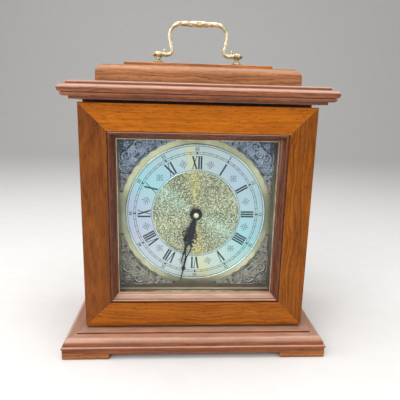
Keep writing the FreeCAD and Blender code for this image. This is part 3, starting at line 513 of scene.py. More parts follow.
@dataclass(frozen=True)
class Plain(Finish):
    """A moulded, sprayed or drawn surface of one material, with faint mottling and a fine grain.

    Args:
        tone: Main colour.
        second: Colour of the mottling.
        roughness: Roughness of the surface.
        metallic: 1 for bare metal.
        ior: Index of refraction of what isn't metal.
        grain_mm: Size of the surface's grain.
        grain_depth_mm: Depth of the surface's grain.
        stretch: How many times longer the grain is along x than across.
    """

    tone: str
    second: str
    roughness: float
    metallic: float
    ior: float
    grain_mm: float
    grain_depth_mm: float
    stretch: float = 1.0

    def dress(self, bench: Bench) -> dict[str, object]:
        """Adds the nodes of the finish.

        Args:
            bench: The material's bench.

        Returns:
            Values or sockets for the inputs of the Principled shader.
        """
        place = bench.place()
        size = (self.grain_mm * self.stretch, self.grain_mm, self.grain_mm)
        grain = bench.speckle(place, size, 2.0, 2.0)
        patches = bench.speckle(place, [8 * s for s in size], 2.0, 6.0)
        made = {"Base Color": bench.between(bench.step(patches, 0.35, 0.65), self.tone, self.second),
                "Roughness": bench.sum_of((grain, 0.12), base=self.roughness - 0.06),
                "Metallic": self.metallic, "Normal": bench.bump(grain, self.grain_depth_mm)}
        return made | {"IOR": self.ior} if self.metallic < 1 else made


@dataclass(frozen=True)
class SilveredBrass(Finish):
    """A brass ring, spun smooth, silvered and lacquered.

    The fine circular lines of the spinning spread each highlight along a radius and split it into faint
    colours; the colour paints these as a painted reflection, so the silver runs through cream, lavender and
    pale cyan round the clock.

    Args:
        tones: Share of the turn, clockwise from twelve, and the silver's tone there, with its painted
            reflection.
        cloud_tone: Tone of the clouds in the lacquer.
    """

    tones: tuple[tuple[float, str], ...] = (
        (0.0, "#e9ecf0"), (0.04, "#dfe5f0"), (0.12, "#d4dff8"), (0.22, "#d0e8fb"), (0.33, "#bfefff"),
        (0.40, "#daf0f4"), (0.455, "#eef2ea"), (0.478, "#fff1c2"), (0.505, "#f0f2f4"), (0.60, "#e2e6f6"),
        (0.70, "#d6d3f2"), (0.78, "#cfd8fb"), (0.835, "#bff2ff"), (0.90, "#cbe8ff"), (0.965, "#e4edf6"),
        (0.982, "#fdf0c6"), (1.0, "#e9ecf0"))
    cloud_tone: str = "#eef1f5"

    def dress(self, bench: Bench) -> dict[str, object]:
        """Adds the nodes of the finish.

        Args:
            bench: The material's bench.

        Returns:
            Values or sockets for the inputs of the Principled shader.
        """
        place = bench.place()
        cloud = bench.step(bench.speckle(place, 30, 3.0, 3.0), 0.35, 0.7)
        from_axis = bench.vector("MULTIPLY", bench.vector("SUBTRACT", place, (0.0, 0.0, DIAL_LEVEL)),
                                 (1.0, 0.0, 1.0))
        # Spun lines a few hundredths of a millimetre apart, drawn 0.5 mm apart.
        lines = bench.lines(bench.vector("LENGTH", from_axis, output=1), 2.0, 2.0)
        # Painted reflection: the tone by angle stands for the spun lines' coloured highlights.
        return {"Base Color": bench.between(bench.sum_of((cloud, 0.35)),
                                            bench.clock_tone(place, 1, self.tones), self.cloud_tone),
                "Metallic": 1.0, "Roughness": bench.sum_of((lines, 0.12), base=0.34),
                "Anisotropic": 0.5, "Tangent": bench.round_axis(), "Normal": bench.bump(lines, 0.01)}


@dataclass(frozen=True)
class MattedBrass(Finish):
    """The sheet brass of the dial's centre, matted with a fine punch.

    The punch leaves thousands of small pits between burrs; the colour paints glints on the burrs and shade in
    the pits, so the gilt sparkles over dark specks.
    The sheet was spun first, which draws its highlights out into a bow tie of gold and pale green, painted into
    the colour as a painted reflection.

    Args:
        tones: Share of the half turn, clockwise from twelve, and the gilt's tone there, with its painted
            reflection.
        pit_mm: Distance between pits. Real ones are 0.5 mm apart; drawn coarser so that they show.
        burr_glint_tone: Tone of the burrs, as a painted glint.
        pit_shade_tone: Tone of the pits, as painted shade.
    """

    tones: tuple[tuple[float, str], ...] = (
        (0.0, "#f6dd8c"), (0.05, "#cdc29c"), (0.17, "#bab096"), (0.30, "#c6bf9e"), (0.39, "#dad5b2"),
        (0.50, "#bab79e"), (0.60, "#c6d0ba"), (0.68, "#dcf4e6"), (0.76, "#c2c8b0"), (0.87, "#b3a98e"),
        (0.94, "#d6c58e"), (0.975, "#ffea90"), (1.0, "#f6dd8c"))
    pit_mm: float = 1.5
    burr_glint_tone: str = "#fffbe6"
    pit_shade_tone: str = "#3a3826"

    def dress(self, bench: Bench) -> dict[str, object]:
        """Adds the nodes of the finish.

        Args:
            bench: The material's bench.

        Returns:
            Values or sockets for the inputs of the Principled shader.
        """
        place = bench.place()
        cells = add_node(bench.tree, "TexVoronoi", {"Vector": place, "Scale": 1 / self.pit_mm,
                                                    "Randomness": 1.0})
        pits = bench.step(cells.outputs["Distance"], 0.50, 0.24)
        stipple = bench.speckle(place, 1.15, 1.5, 7.0)
        # Painted reflection: the tone by angle stands for the bow tie of highlights that spinning draws out.
        tone = bench.clock_tone(place, 2, self.tones)
        # Painted glint and shade: the matting's pattern lightens the burrs and darkens the pits.
        bright = bench.between(bench.sum_of((bench.step(stipple, 0.47, 0.60), 0.75)), tone, self.burr_glint_tone)
        holes = bench.sum_of((pits, 0.75), (bench.step(stipple, 0.52, 0.38), 0.6))
        relief = bench.sum_of((pits, -0.6), (stipple, 0.8), base=0.3)
        return {"Base Color": bench.between(holes, bright, bench.between(0.85, tone, self.pit_shade_tone)),
                "Metallic": 1.0, "Roughness": 0.38, "Anisotropic": 0.4, "Tangent": bench.round_axis(),
                "Normal": bench.bump(relief, 0.10)}


@dataclass(frozen=True)
class CastRelief(Finish):
    """Cast brass, lacquered dark, the lacquer taken back by rubbing so that only what stands proud is bright;
    the tones by height also paint a highlight on the crests and shade on the ground.

    Args:
        crest: Colour of the crests, bare brass with a painted highlight.
        slope: Colour between.
        ground: Colour of the ground, with painted shade.
        upper_painted_tint: Painted bluish reflection and light over the upper corners, lifting them out of the
            cornice's shade.
        lower_painted_tint: Painted warm, darker reflection over the lower corners.
        base_y: Depth of the ground, in millimetres in the row frame.
        rise: Height of the relief, in millimetres.
    """

    crest: str = "#ffffff"
    slope: str = "#cfcccd"
    ground: str = "#817e83"
    upper_painted_tint: str = "#d6e0ff"
    lower_painted_tint: str = "#d2c5bc"
    base_y: float = -27.0
    rise: float = 1.6

    def dress(self, bench: Bench) -> dict[str, object]:
        """Adds the nodes of the finish.

        Args:
            bench: The material's bench.

        Returns:
            Values or sockets for the inputs of the Principled shader.
        """
        place = bench.place()
        _, y, z = bench.parts(place)
        height = add_node(bench.tree, "MapRange", {0: y, 1: self.base_y, 2: self.base_y - self.rise})
        grit = bench.speckle(place, 0.9, 2.0, 8.0)
        level = bench.sum_of((height.outputs[0], 1.0), (grit, 0.35), base=-0.17)
        # Tone by height: the lacquer's wear, with a painted highlight on the crests and painted shade on the
        # ground.
        skin = bench.toned(level, ((0.08, self.ground), (0.45, self.slope), (0.9, self.crest)))
        # Painted light: a bluish, brighter tint over the upper corners and a warm, darker one over the lower
        # ones.
        cast = bench.between(bench.step(z, DIAL_LEVEL + 25, DIAL_LEVEL + 55), self.lower_painted_tint, self.upper_painted_tint)
        return {"Base Color": bench.between(1.0, skin, cast, "MULTIPLY"), "Metallic": 0.45,
                "Roughness": bench.sum_of((grit, 0.15), base=0.34), "Normal": bench.bump(grit, 0.05)}


@dataclass(frozen=True)
class ClearGlass(Finish):
    """Drawn sheet glass: clear, with a clean reflection that grows at glancing angles.

    Args:
        tint: What the glass lets through.
        ior: Its index of refraction.
        gloss: Roughness of its reflection.
        wave_mm: Length of its waves.
        wave_depth_mm: Their depth.
    """

    tint: str = "#f4f9f7"
    ior: float = 1.45
    gloss: float = 0.02
    wave_mm: float = 40
    wave_depth_mm: float = 0.05

    def shade(self, tree: bpy.types.NodeTree) -> bpy.types.Node:
        """Adds a clear film with a gloss over it.

        Args:
            tree: The material's node tree.

        Returns:
            The shader.
        """
        bench = Bench(tree)
        through = add_node(tree, "BsdfTransparent", {"Color": linear(self.tint)})
        drawn = bench.bump(bench.speckle(bench.place(), self.wave_mm, 1.0, 2.0), self.wave_depth_mm)
        gloss = add_node(tree, "BsdfGlossy", {"Color": grey(1.0), "Roughness": self.gloss, "Normal": drawn})
        edge_on = add_node(tree, "Fresnel", {"IOR": self.ior})
        ray = add_node(tree, "LightPath")
        # Only the outer faces gleam: seen from within the pane, a face would mirror like water from below.
        clear = bench.maths("MAXIMUM", ray.outputs["Is Shadow Ray"], bench.surface("Backfacing"))
        share = bench.maths("MULTIPLY", edge_on.outputs[0], bench.maths("SUBTRACT", 1.0, clear))
        return add_node(tree, "MixShader", {0: share, 1: through.outputs[0], 2: gloss.outputs[0]})


# ---- the finishes of this clock --------------------------------------------------------------------
TOP_RAIL = StainedHardwood("stained_hardwood_top_rail", "#cd7312", "#98500c", Grain.ACROSS, (34, 25), 1.0,
                           0.5, 0.10)
BOTTOM_RAIL = StainedHardwood("stained_hardwood_bottom_rail", "#b56613", "#84430c", Grain.ACROSS, (75, 30),
                              2.0, 0.4, 0.10)
LEFT_STILE = StainedHardwood("stained_hardwood_left_stile", "#94531d", "#5f2f0e", Grain.UPRIGHT, (90, 20),
                             3.0, 0.35, 0.10)
RIGHT_STILE = StainedHardwood("stained_hardwood_right_stile", "#a25c12", "#683208", Grain.UPRIGHT,
                              (70, 35), 4.0, 0.4, 0.10)
DOOR_LIP = StainedHardwood("stained_hardwood_lip", "#7a3c18", "#421a09", Grain.ROUND_DOOR, (55, 30), 5.0,
                           0.3, 0.7, 0.65)
BASE_FRONT = StainedHardwood("stained_hardwood_base", "#a05424", "#57260d", Grain.ACROSS, (60, 40), 6.0,
                             0.4, 0.7, 0.45)
BASE_SIDE = StainedHardwood("stained_hardwood_base_side", "#935022", "#572810", Grain.DEEP, (60, 40), 7.0,
                            0.4, 0.7, 0.4)
FEET = StainedHardwood("stained_hardwood_feet", "#b57038", "#7a4420", Grain.ACROSS, (50, 20), 8.0, 0.5, 0.3)
CORNICE_FRONT = StainedHardwood("stained_hardwood_cornice", "#a05626", "#592810", Grain.ACROSS, (65, 35),
                                9.0, 0.35, 0.9, 0.3)
CORNICE_SIDE = StainedHardwood("stained_hardwood_cornice_side", "#914d24", "#562810", Grain.DEEP, (65, 35),
                               10.0, 0.35, 0.9, 0.3)
TIER = StainedHardwood("stained_hardwood_tier", "#bd8050", "#84502c", Grain.ACROSS, (80, 40), 11.0, 0.4,
                       0.5, 0.0)
PLINTH = StainedHardwood("stained_hardwood_plinth", "#c98148", "#8e5428", Grain.ACROSS, (90, 30), 12.0,
                         0.4, 0.5, 0.12)
SIDE_LEFT = StainedHardwood("stained_hardwood_side_left", "#98541f", "#602d0d", Grain.UPRIGHT, (80, 60),
                            13.0, 0.4, 0.3)
SIDE_RIGHT = StainedHardwood("stained_hardwood_side_right", "#95511d", "#5e2c0c", Grain.UPRIGHT, (70, 66),
                             14.0, 0.4, 0.3)
INNER_ACROSS = StainedHardwood("stained_hardwood_inner_rail", "#75401b", "#45210c", Grain.ACROSS, (60, 40),
                               15.0, 0.3, 0.2)
INNER_UPRIGHT = StainedHardwood("stained_hardwood_inner_stile", "#733e1a", "#44200c", Grain.UPRIGHT,
                                (60, 40), 16.0, 0.3, 0.2)
CARCASS = StainedHardwood("stained_carcass_board", "#8c5a33", "#5c361b", Grain.ACROSS, (90, 50), 17.0,
                          0.35, 0.15)
BACK_BOARD = StainedHardwood("stained_back_board", "#8a552c", "#5b3418", Grain.UPRIGHT, (100, 60), 18.0,
                             0.5, 0.2)
CAST_BRASS = Metal("antiqued_cast_brass", "#d6cbac", "#a99b78", "#382c1a", 0.42, 4.0, 3.0, 0.8, 0.06, 0.95)
POST_BRASS = Metal("antiqued_turned_brass", "#c2b494", "#968465", "#33281a", 0.32, 4.0, 3.0, 0.6, 0.02, 0.9)
NUT_BRASS = Metal("polished_brass_nut", "#fbfad6", "#eceab8", "#a8a274", 0.42, 6.0, 0.4, 0.5, 0.005, 0.3)
SIGHT_BRASS = Metal("lacquered_brass_slip", "#d9c8ae", "#b5a284", "#3c3224", 0.35, 9.0, 1.5, 0.4, 0.01, 0.6)
TURNED_BRASS = Metal("turned_brass", "#d2ab5c", "#a8813f", "#3d2b14", 0.22, 9.0, 2.0, 0.3, 0.005, 0.5)
DRAWN_BRASS = Metal("drawn_sheet_brass", "#c9a255", "#9b7535", "#38270f", 0.32, 6.0, 2.0, 0.4, 0.01, 0.6)
DIAL_BRASS = Metal("brushed_dial_brass", "#f7ecce", "#cbc6a8", "#6a665c", 0.40, 34.0, 4.0, 0.5, 0.01, 0.5)
RING_RIM = Metal("turned_silvered_rim", "#f1f5f8", "#d5dae2", "#5c6068", 0.24, 20.0, 1.5, 0.5, 0.005, 0.3)
SILVERED = SilveredBrass("silvered_spun_brass")
MATTED = MattedBrass("punch_matted_brass")
RELIEF = CastRelief("lacquered_cast_brass")
BLUED = Plain("blued_steel", "#121a2a", "#1a2437", 0.34, 0.9, 1.5, 1.2, 0.004)
INK = Plain("screen_printed_ink", "#232c38", "#2b3542", 0.6, 0.0, 1.5, 0.6, 0.004)
GLASS = ClearGlass("drawn_sheet_glass")
MOULDED = Plain("moulded_abs", "#1c1d1f", "#232426", 0.45, 0.0, 1.53, 0.9, 0.02)
SETTING = Plain("moulded_abs_setting_knob", "#2b2b2c", "#323233", 0.4, 0.0, 1.53, 0.9, 0.01)
RUBBER = Plain("sheet_rubber", "#141414", "#1b1b1b", 0.8, 0.0, 1.52, 0.5, 0.02)
SLEEVE = Plain("printed_cell_sleeve", "#2c3f52", "#31465a", 0.3, 0.0, 1.5, 2.0, 0.005)
ZINC = Plain("zinc_plated_steel", "#a9adb0", "#979b9f", 0.35, 1.0, 1.5, 0.8, 0.01, 3.0)
MAGNET = Plain("sintered_magnet", "#6d6e70", "#7a7b7d", 0.4, 1.0, 1.5, 0.5, 0.02)
FLOOR_PAPER = Plain("pale_studio_paper", "#e9e8e6", "#ebeae8", 0.9, 0.0, 1.45, 3.0, 0.02)

NODE_FINISHES: dict[str, Finish] = {
    "feet_front": FEET, "feet_back": FEET,
    "base_moulding_front": BASE_FRONT, "base_moulding_left": BASE_SIDE, "base_moulding_right": BASE_SIDE,
    "base_board": CARCASS, "base_back_rail": CARCASS, "top_board": CARCASS, "back_rail_top": CARCASS,
    "glue_blocks": CARCASS,
    "side_panel_left": SIDE_LEFT, "side_panel_right": SIDE_RIGHT,
    "front_rail_bottom": INNER_ACROSS, "front_rail_top": INNER_ACROSS,
    "front_stile_left": INNER_UPRIGHT, "front_stile_right": INNER_UPRIGHT,
    "cornice_front": CORNICE_FRONT, "cornice_left": CORNICE_SIDE, "cornice_right": CORNICE_SIDE,
    "round_tier": TIER, "top_plinth": PLINTH,
    "door_rail_bottom": BOTTOM_RAIL, "door_rail_top": TOP_RAIL,
    "door_stile_left": LEFT_STILE, "door_stile_right": RIGHT_STILE,
    "door_lip": DOOR_LIP, "glass_beads": DOOR_LIP, "door_glass": GLASS,
    "fixed_hinge_leaves": DRAWN_BRASS, "hinge_pins": TURNED_BRASS, "door_hinge_leaves": DRAWN_BRASS,
    "back_door_hinge_leaves": DRAWN_BRASS, "catch_magnets": MAGNET, "door_strike": ZINC,
    "back_door_strike": ZINC, "dial_clips": ZINC, "handle_nuts": ZINC,
    "dial_plate": DIAL_BRASS, "chapter_ring": SILVERED, "dial_centre": MATTED,
    "spandrel_top_left": RELIEF, "spandrel_top_right": RELIEF,
    "spandrel_bottom_left": RELIEF, "spandrel_bottom_right": RELIEF,
    "hour_hand": BLUED, "minute_hand": BLUED, "minute_arbor": TURNED_BRASS, "hand_nut": TURNED_BRASS,
    "bush_nut": TURNED_BRASS, "movement_case": MOULDED, "setting_knob": SETTING, "rubber_washer": RUBBER,
    "power_cell": SLEEVE, "back_door": BACK_BOARD, "back_door_knob": TURNED_BRASS,
    "bail": CAST_BRASS, "bail_acorns": POST_BRASS, "handle_rosettes": POST_BRASS,
    "handle_posts": POST_BRASS,
}


# ---- mesh code -------------------------------------------------------------------------------------
Faces = list[tuple[int, ...]]
Placing = Callable[[float, float, float], Point3]
Field = Callable[[np.ndarray, np.ndarray], np.ndarray]


def bands(rows: int, steps: int) -> Faces:
    """Gives the faces between rings of vertices, with a cap at both ends.

    Args:
        rows: Number of rings.
        steps: Vertices of each ring.

    Returns:
        Faces as vertex numbers.
    """
    faces: Faces = []
    for here in range(0, (rows - 1) * steps, steps):
        for i in range(steps):
            j = (i + 1) % steps
            faces.append((here + i, here + j, here + steps + j, here + steps + i))
    last = (rows - 1) * steps
    return faces + [tuple(reversed(range(steps))), tuple(range(last, last + steps))]


@dataclass
class Stock:
    """Vertices and faces of a piece while it is made, in millimetres in the row frame.

    Args:
        points: Vertices.
        faces: Faces as vertex numbers.
    """

    points: list[Point3] = field(default_factory=list)
    faces: Faces = field(default_factory=list)

    def add(self, points: Iterable[Sequence[float]], faces: Iterable[Sequence[int]]) -> None:
        """Adds vertices and faces that count from 0.

        Args:
            points: New vertices.
            faces: New faces.
        """
        start = len(self.points)
        self.points += [tuple(float(v) for v in p) for p in points]
        self.faces += [tuple(start + i for i in f) for f in faces]

    def slab(self, ring: Sequence[Point], front: float, back: float) -> None:
        """Adds a flat plate in the dial's plane from a simple outline, round its middle.

        Args:
            ring: Outline as (right, up) from the hands' axis.
            front: Its front face's y.
            back: Its back face's y.
        """
        area = sum(a[0] * b[1] - b[0] * a[1] for a, b in zip(ring, [*ring[1:], ring[0]]))
        if area < 0:
            ring = list(reversed(ring))
        count = len(ring)
        faces: Faces = []
        for cap in tessellate_polygon([[Vector((x, z, 0)) for x, z in ring]]):
            a, b, c = (Vector(ring[i]) for i in cap)
            front_face = tuple(cap) if (b - a).cross(c - a) > 0 else tuple(reversed(cap))
            faces += [front_face, tuple(count + i for i in reversed(front_face))]
        faces += [(i, count + i, count + (i + 1) % count, (i + 1) % count) for i in range(count)]
        self.add([(x, y, DIAL_LEVEL + z) for y in (front, back) for x, z in ring], faces)

    def hoop(self, section: Sequence[Point], steps: int = 240) -> None:
        """Adds a ring round the hands' axis from a closed section.

        Args:
            section: Points (radius, y) round the section, clockwise as the radius grows to the right
                and y grows downward.
            steps: Sides of the circle.
        """
        turns = [2 * math.pi * i / steps for i in range(steps)]
        points = [(r * math.cos(a), y, DIAL_LEVEL + r * math.sin(a)) for r, y in section for a in turns]
        faces: Faces = []
        for row in range(len(section)):
            here, after = row * steps, (row + 1) % len(section) * steps
            for i in range(steps):
                j = (i + 1) % steps
                faces.append((here + i, after + i, after + j, here + j))
        self.add(points, faces)

    def lathe(self, profile: Sequence[Point], place: Placing, steps: int = 48) -> None:
        """Adds a turned form, closed at both ends of its profile.

        Args:
            profile: Points (radius, height) from one end on the axis to the other.
            place: Turns (radius, height, angle) into a point.
            steps: Sides of the circle.
        """
        self.add([place(r, h, 2 * math.pi * i / steps) for r, h in profile for i in range(steps)],
                 bands(len(profile), steps))

    def stand(self, name: str, finish: Finish) -> bpy.types.Object:
        """Stands the form in the scene as a dressed object.

        Args:
            name: Name of the object.
            finish: Its finish.

        Returns:
            The object.
        """
        mesh = bpy.data.meshes.new(name)
        mesh.from_pydata([(x * MM, y * MM, z * MM) for x, y, z in self.points], [], self.faces)
        mesh.validate()
        mesh.update()
        mesh.materials.append(finish.material())
        made = bpy.data.objects.new(name, mesh)
        bpy.context.scene.collection.objects.link(made)
        return made

    def piece(self, name: str, finish: Finish, body: str, slot: str, replaces: Sequence[str] = (),
              smooth: float | None = 35.0) -> None:
        """Makes a piece, dresses it and lets it ride.

        Args:
            name: Name of the piece.
            finish: Its finish.
            body: The body that it rides on.
            slot: The record's slot for its finish; not used.
            replaces: CAD nodes that it stands for.
            smooth: Largest angle in degrees that is shaded smooth, or None.
        """
        made = self.stand(name, finish)
        if smooth is not None:
            made.data.shade_smooth()
            made.data.set_sharp_from_angle(angle=math.radians(smooth))
        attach(made, body)
        if replaces:
            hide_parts(*replaces)
        log.info("%s: %d faces on %s", name, len(made.data.polygons), body)


@dataclass
class WornGrid:
    """A grid over a patch of the dial's plane, trimmed to an outline and raised to a height.

    Args:
        low: Lowest corner of the patch.
        high: Highest corner.
        spacing: Distance between grid lines.
    """

    low: Point
    high: Point
    spacing: float

    def work(self, outside: Field, height: Callable[[np.ndarray, np.ndarray, np.ndarray], np.ndarray]
             ) -> tuple[np.ndarray, Faces]:
        """Works the patch into a closed plate.

        Args:
            outside: Distance outside the outline, negative inside.
            height: Height above the back, from places and their distance outside.

        Returns:
            Points (right, height, up) and faces.
        """
        lines = [np.arange(a, b + self.spacing, self.spacing) for a, b in zip(self.low, self.high)]
        x, z = np.meshgrid(*lines, indexing="ij")
        far = outside(x, z)
        for _ in range(3):
            # Grid points just outside the outline move on to it, which gives a smooth edge.
            small = self.spacing / 10
            slope_x = (outside(x + small, z) - outside(x - small, z)) / (2 * small)
            slope_z = (outside(x, z + small) - outside(x, z - small)) / (2 * small)
            size = np.maximum(np.hypot(slope_x, slope_z), 0.3) ** 2
            move = np.where((far > 0) & (far < 1.2 * self.spacing), far, 0)
            x, z = x - move * slope_x / size, z - move * slope_z / size
            far = outside(x, z)
        keep = far < self.spacing / 8
        whole = keep[:-1, :-1] & keep[1:, :-1] & keep[1:, 1:] & keep[:-1, 1:]
        used = np.zeros(x.shape, bool)
        for i in (0, 1):
            for j in (0, 1):
                used[i:x.shape[0] - 1 + i, j:x.shape[1] - 1 + j] |= whole
        numbers = -np.ones(x.shape, int)
        numbers[used] = np.arange(used.sum())
        points = np.stack([x[used], height(x, z, far)[used], z[used]], 1)
        faces = [(numbers[i, j], numbers[i + 1, j], numbers[i + 1, j + 1], numbers[i, j + 1])
                 for i, j in np.argwhere(whole)]
        return self.with_back(points, faces)

    @staticmethod
    def with_back(points: np.ndarray, faces: Faces) -> tuple[np.ndarray, Faces]:
        """Closes a worked face with a wall round its outline and a back.

        Args:
            points: Its vertices.
            faces: Its faces.

        Returns:
            Vertices and faces of the closed plate.
        """
        sides = {(a, b) for f in faces for a, b in zip(f, f[1:] + f[:1])}
        count = len(points)
        floor = points * (1, 0, 1)
        closed = faces + [tuple(count + i for i in reversed(f)) for f in faces]
        closed += [(b, a, count + a, count + b) for a, b in sides if (b, a) not in sides]
        return np.concatenate([points, floor]), closed


def distance_to(line: np.ndarray, half: np.ndarray | float, x: np.ndarray, z: np.ndarray, reach: float,
                scaled: bool = False) -> np.ndarray:
    """Gives how far places lie from a stroke, worked out only near it.

    Args:
        line: Points of the stroke's middle line.
        half: Half width of the stroke at each point.
        x: Places along the first axis.
        z: Places along the second.
        reach: How far from the middle line the distance is worked out.
        scaled: Whether the distance is a share of the half width, or else what is left after it.

    Returns:
        The distances, 99 where a place is out of reach.
    """
    far = np.full(x.shape, 99.0)
    near = ((x > line[:, 0].min() - reach) & (x < line[:, 0].max() + reach)
            & (z > line[:, 1].min() - reach) & (z < line[:, 1].max() + reach))
    gap = np.hypot(x[near][:, None] - line[:, 0], z[near][:, None] - line[:, 1])
    if near.any():
        far[near] = (gap / half if scaled else gap - half).min(-1)
    return far


def spiral(centre: Point, radius: float, start: float, sweep: float, close: float, count: int,
           power: float = 1.0) -> np.ndarray:
    """Draws the middle line of a scroll that winds in.

    Args:
        centre: Its middle.
        radius: Its radius where it starts.
        start: The angle where it starts, in degrees.
        sweep: How far it winds, in degrees.
        close: Share of the radius that is left at its end.
        count: Number of points.
        power: How late it closes in.

    Returns:
        Points (right, up).
    """
    t = np.linspace(0, 1, count)
    a = np.radians(start + sweep * t)
    r = radius * (1 - (1 - close) * t ** power)
    return np.stack([centre[0] + r * np.cos(a), centre[1] + r * np.sin(a)], 1)


def domed(share: np.ndarray) -> np.ndarray:
    """Gives the round top of a bead: 1 in its middle and 0 at and beyond its edges."""
    return np.clip(1 - share ** 2, 0, None) ** 0.5


def turned_points(points: np.ndarray, clock_degrees: float, back: float) -> np.ndarray:
    """Turns worked points round the hands' axis and puts them on their back plane.

    Args:
        points: Points (right, height, up).
        clock_degrees: Turn clockwise seen from the front.
        back: The back plane's y.

    Returns:
        Points in millimetres in the row frame.
    """
    a = math.radians(clock_degrees)
    right = points[:, 0] * math.cos(a) + points[:, 2] * math.sin(a)
    up = points[:, 2] * math.cos(a) - points[:, 0] * math.sin(a)
    return np.stack([right, back - points[:, 1], DIAL_LEVEL + up], 1)


# ---- the dial's printing ---------------------------------------------------------------------------
# The ring's letters: width, and each stroke as its foot, its top and how wide it is.
THICK, THIN = 1.75, 0.75
LETTERS = {
    "I": (2.55, ((0.0, 0.0, THICK),)),
    "V": (6.6, ((0.0, -2.0, THICK), (0.4, 2.2, THIN))),
    "X": (6.6, ((2.1, -2.1, THICK), (-2.1, 2.1, THIN))),
}
HOURS = ("I", "II", "III", "IIII", "V", "VI", "VII", "VIII", "IX", "X", "XI", "XII")


@dataclass
class ChapterPrint:
    """The black printing on the silvered ring.

    Args:
        numeral_inner: Radius of the numerals' feet.
        numeral_outer: Radius of the numerals' tops.
        serif: Height of a serif.
        serif_width: Width of a serif.
        track_inner: Radius of the minute track's inner line.
        track_outer: Radius of its outer line.
        border_inner: Radius of the line at the ring's inner edge.
        border_outer: Radius of the line at its outer edge.
        line: Width of the lines.
        diamond: Half length of the mark at every fifth minute, which is half as wide.
        figure_radius: Radius of the minute figures' middles.
        figure_size: Size of the figures' letters.
        figure_squeeze: Share of the letters' width that is left.
        star_radius: Radius of the half-hour marks' middles.
        star_reach: Length of a half-hour mark's long petals.
        star_short: Length of its short petals as a share of the long ones.
        star_dot: Radius of its middle.
        ink: Thickness of the printing, thicker than real so that it stands clear of the ring.
    """

    numeral_inner: float = 48.7
    numeral_outer: float = 62.2
    serif: float = 0.5
    serif_width: float = 2.4
    track_inner: float = 64.2
    track_outer: float = 66.3
    border_inner: float = 47.4
    border_outer: float = 72.6
    line: float = 0.42
    diamond: float = 1.9
    figure_radius: float = 69.6
    figure_size: float = 5.304
    figure_squeeze: float = 0.82
    star_radius: float = 55.0
    star_reach: float = 4.7
    star_short: float = 0.82
    star_dot: float = 0.55
    ink: float = 0.04

    def patch(self, stock: Stock, clock_degrees: float, corners: Sequence[Point]) -> None:
        """Adds a printed patch from an outline of places (along the ring, outward)."""
        stock.slab(self.turned(corners, clock_degrees), RING_FACE - self.ink, RING_FACE)

    def stroke(self, stock: Stock, clock_degrees: float, start: Point, end: Point, width: float) -> None:
        """Adds a straight stroke, its places given as (along the ring, outward).

        Args:
            stock: The mesh that gets it.
            clock_degrees: Where on the ring its numeral stands.
            start: One end.
            end: The other end.
            width: Its width along the ring.
        """
        half = width / 2
        self.patch(stock, clock_degrees, [(start[0] - half, start[1]), (start[0] + half, start[1]),
                                          (end[0] + half, end[1]), (end[0] - half, end[1])])

    @staticmethod
    def turned(corners: Sequence[Point], clock_degrees: float) -> list[Point]:
        """Turns places (along the ring, outward) to the dial's (right, up)."""
        a = math.radians(clock_degrees)
        return [(x * math.cos(a) + z * math.sin(a), -x * math.sin(a) + z * math.cos(a))
                for x, z in corners]

    def numeral(self, stock: Stock, clock_degrees: float, text: str) -> None:
        """Adds a Roman numeral with its top outward.

        Args:
            stock: The mesh that gets it.
            clock_degrees: Where on the ring it stands.
            text: Its letters.
        """
        here = -sum(LETTERS[letter][0] for letter in text) / 2
        low, high = self.numeral_inner, self.numeral_outer
        for letter in text:
            wide, strokes = LETTERS[letter]
            middle = here + wide / 2
            for foot, top, width in strokes:
                self.stroke(stock, clock_degrees, (middle + foot, low), (middle + top, high), width)
            feet = [] if letter == "V" else sorted(stroke[0] for stroke in strokes)
            serifs = [(middle + foot, low) for foot in feet]
            serifs += [(middle + top, high - self.serif) for top in sorted(stroke[1] for stroke in strokes)]
            for x, z in serifs:
                self.stroke(stock, clock_degrees, (x, z), (x, z + self.serif), self.serif_width)
            here += wide

    def star(self, stock: Stock, clock_degrees: float) -> None:
        """Adds a half-hour mark: eight petals round a small ring.

        Args:
            stock: The mesh that gets it.
            clock_degrees: Where on the ring it stands.
        """
        for arm in range(8):
            a = math.radians(45 * arm)
            reach = self.star_reach if arm % 2 == 0 else self.star_reach * self.star_short
            # The petal's outline, from its root to its tip and back.
            side = [(0.9, 0.14), (0.5 * reach, 0.2), (0.78 * reach, 0.46)]
            outline = side + [(reach, 0.0)] + [(along, -wide) for along, wide in reversed(side)]
            self.patch(stock, clock_degrees,
                       [(along * math.sin(a) + wide * math.cos(a),
                         self.star_radius + along * math.cos(a) - wide * math.sin(a))
                        for along, wide in outline])
        turns = [math.radians(t) for t in range(0, 360, 36)]
        self.patch(stock, clock_degrees, [(self.star_dot * math.sin(t),
                                           self.star_radius + self.star_dot * math.cos(t)) for t in turns])

    def track(self, stock: Stock) -> None:
        """Adds the minute track, the ring's border lines and the marks at every fifth minute.

        Args:
            stock: The mesh that gets them.
        """
        for radius in (self.track_inner, self.track_outer, self.border_outer, self.border_inner):
            outer, front = radius + self.line, RING_FACE - self.ink
            stock.hoop(((radius, front), (outer, front), (outer, RING_FACE), (radius, RING_FACE)))
        middle = (self.track_inner + self.track_outer + self.line) / 2
        for minute in range(60):
            if minute % 5 == 0:
                self.patch(stock, 6 * minute, [(0, middle - self.diamond), (self.diamond / 2, middle),
                                               (0, middle + self.diamond), (-self.diamond / 2, middle)])
            else:
                self.stroke(stock, 6 * minute, (0, self.track_inner), (0, self.track_outer), self.line)

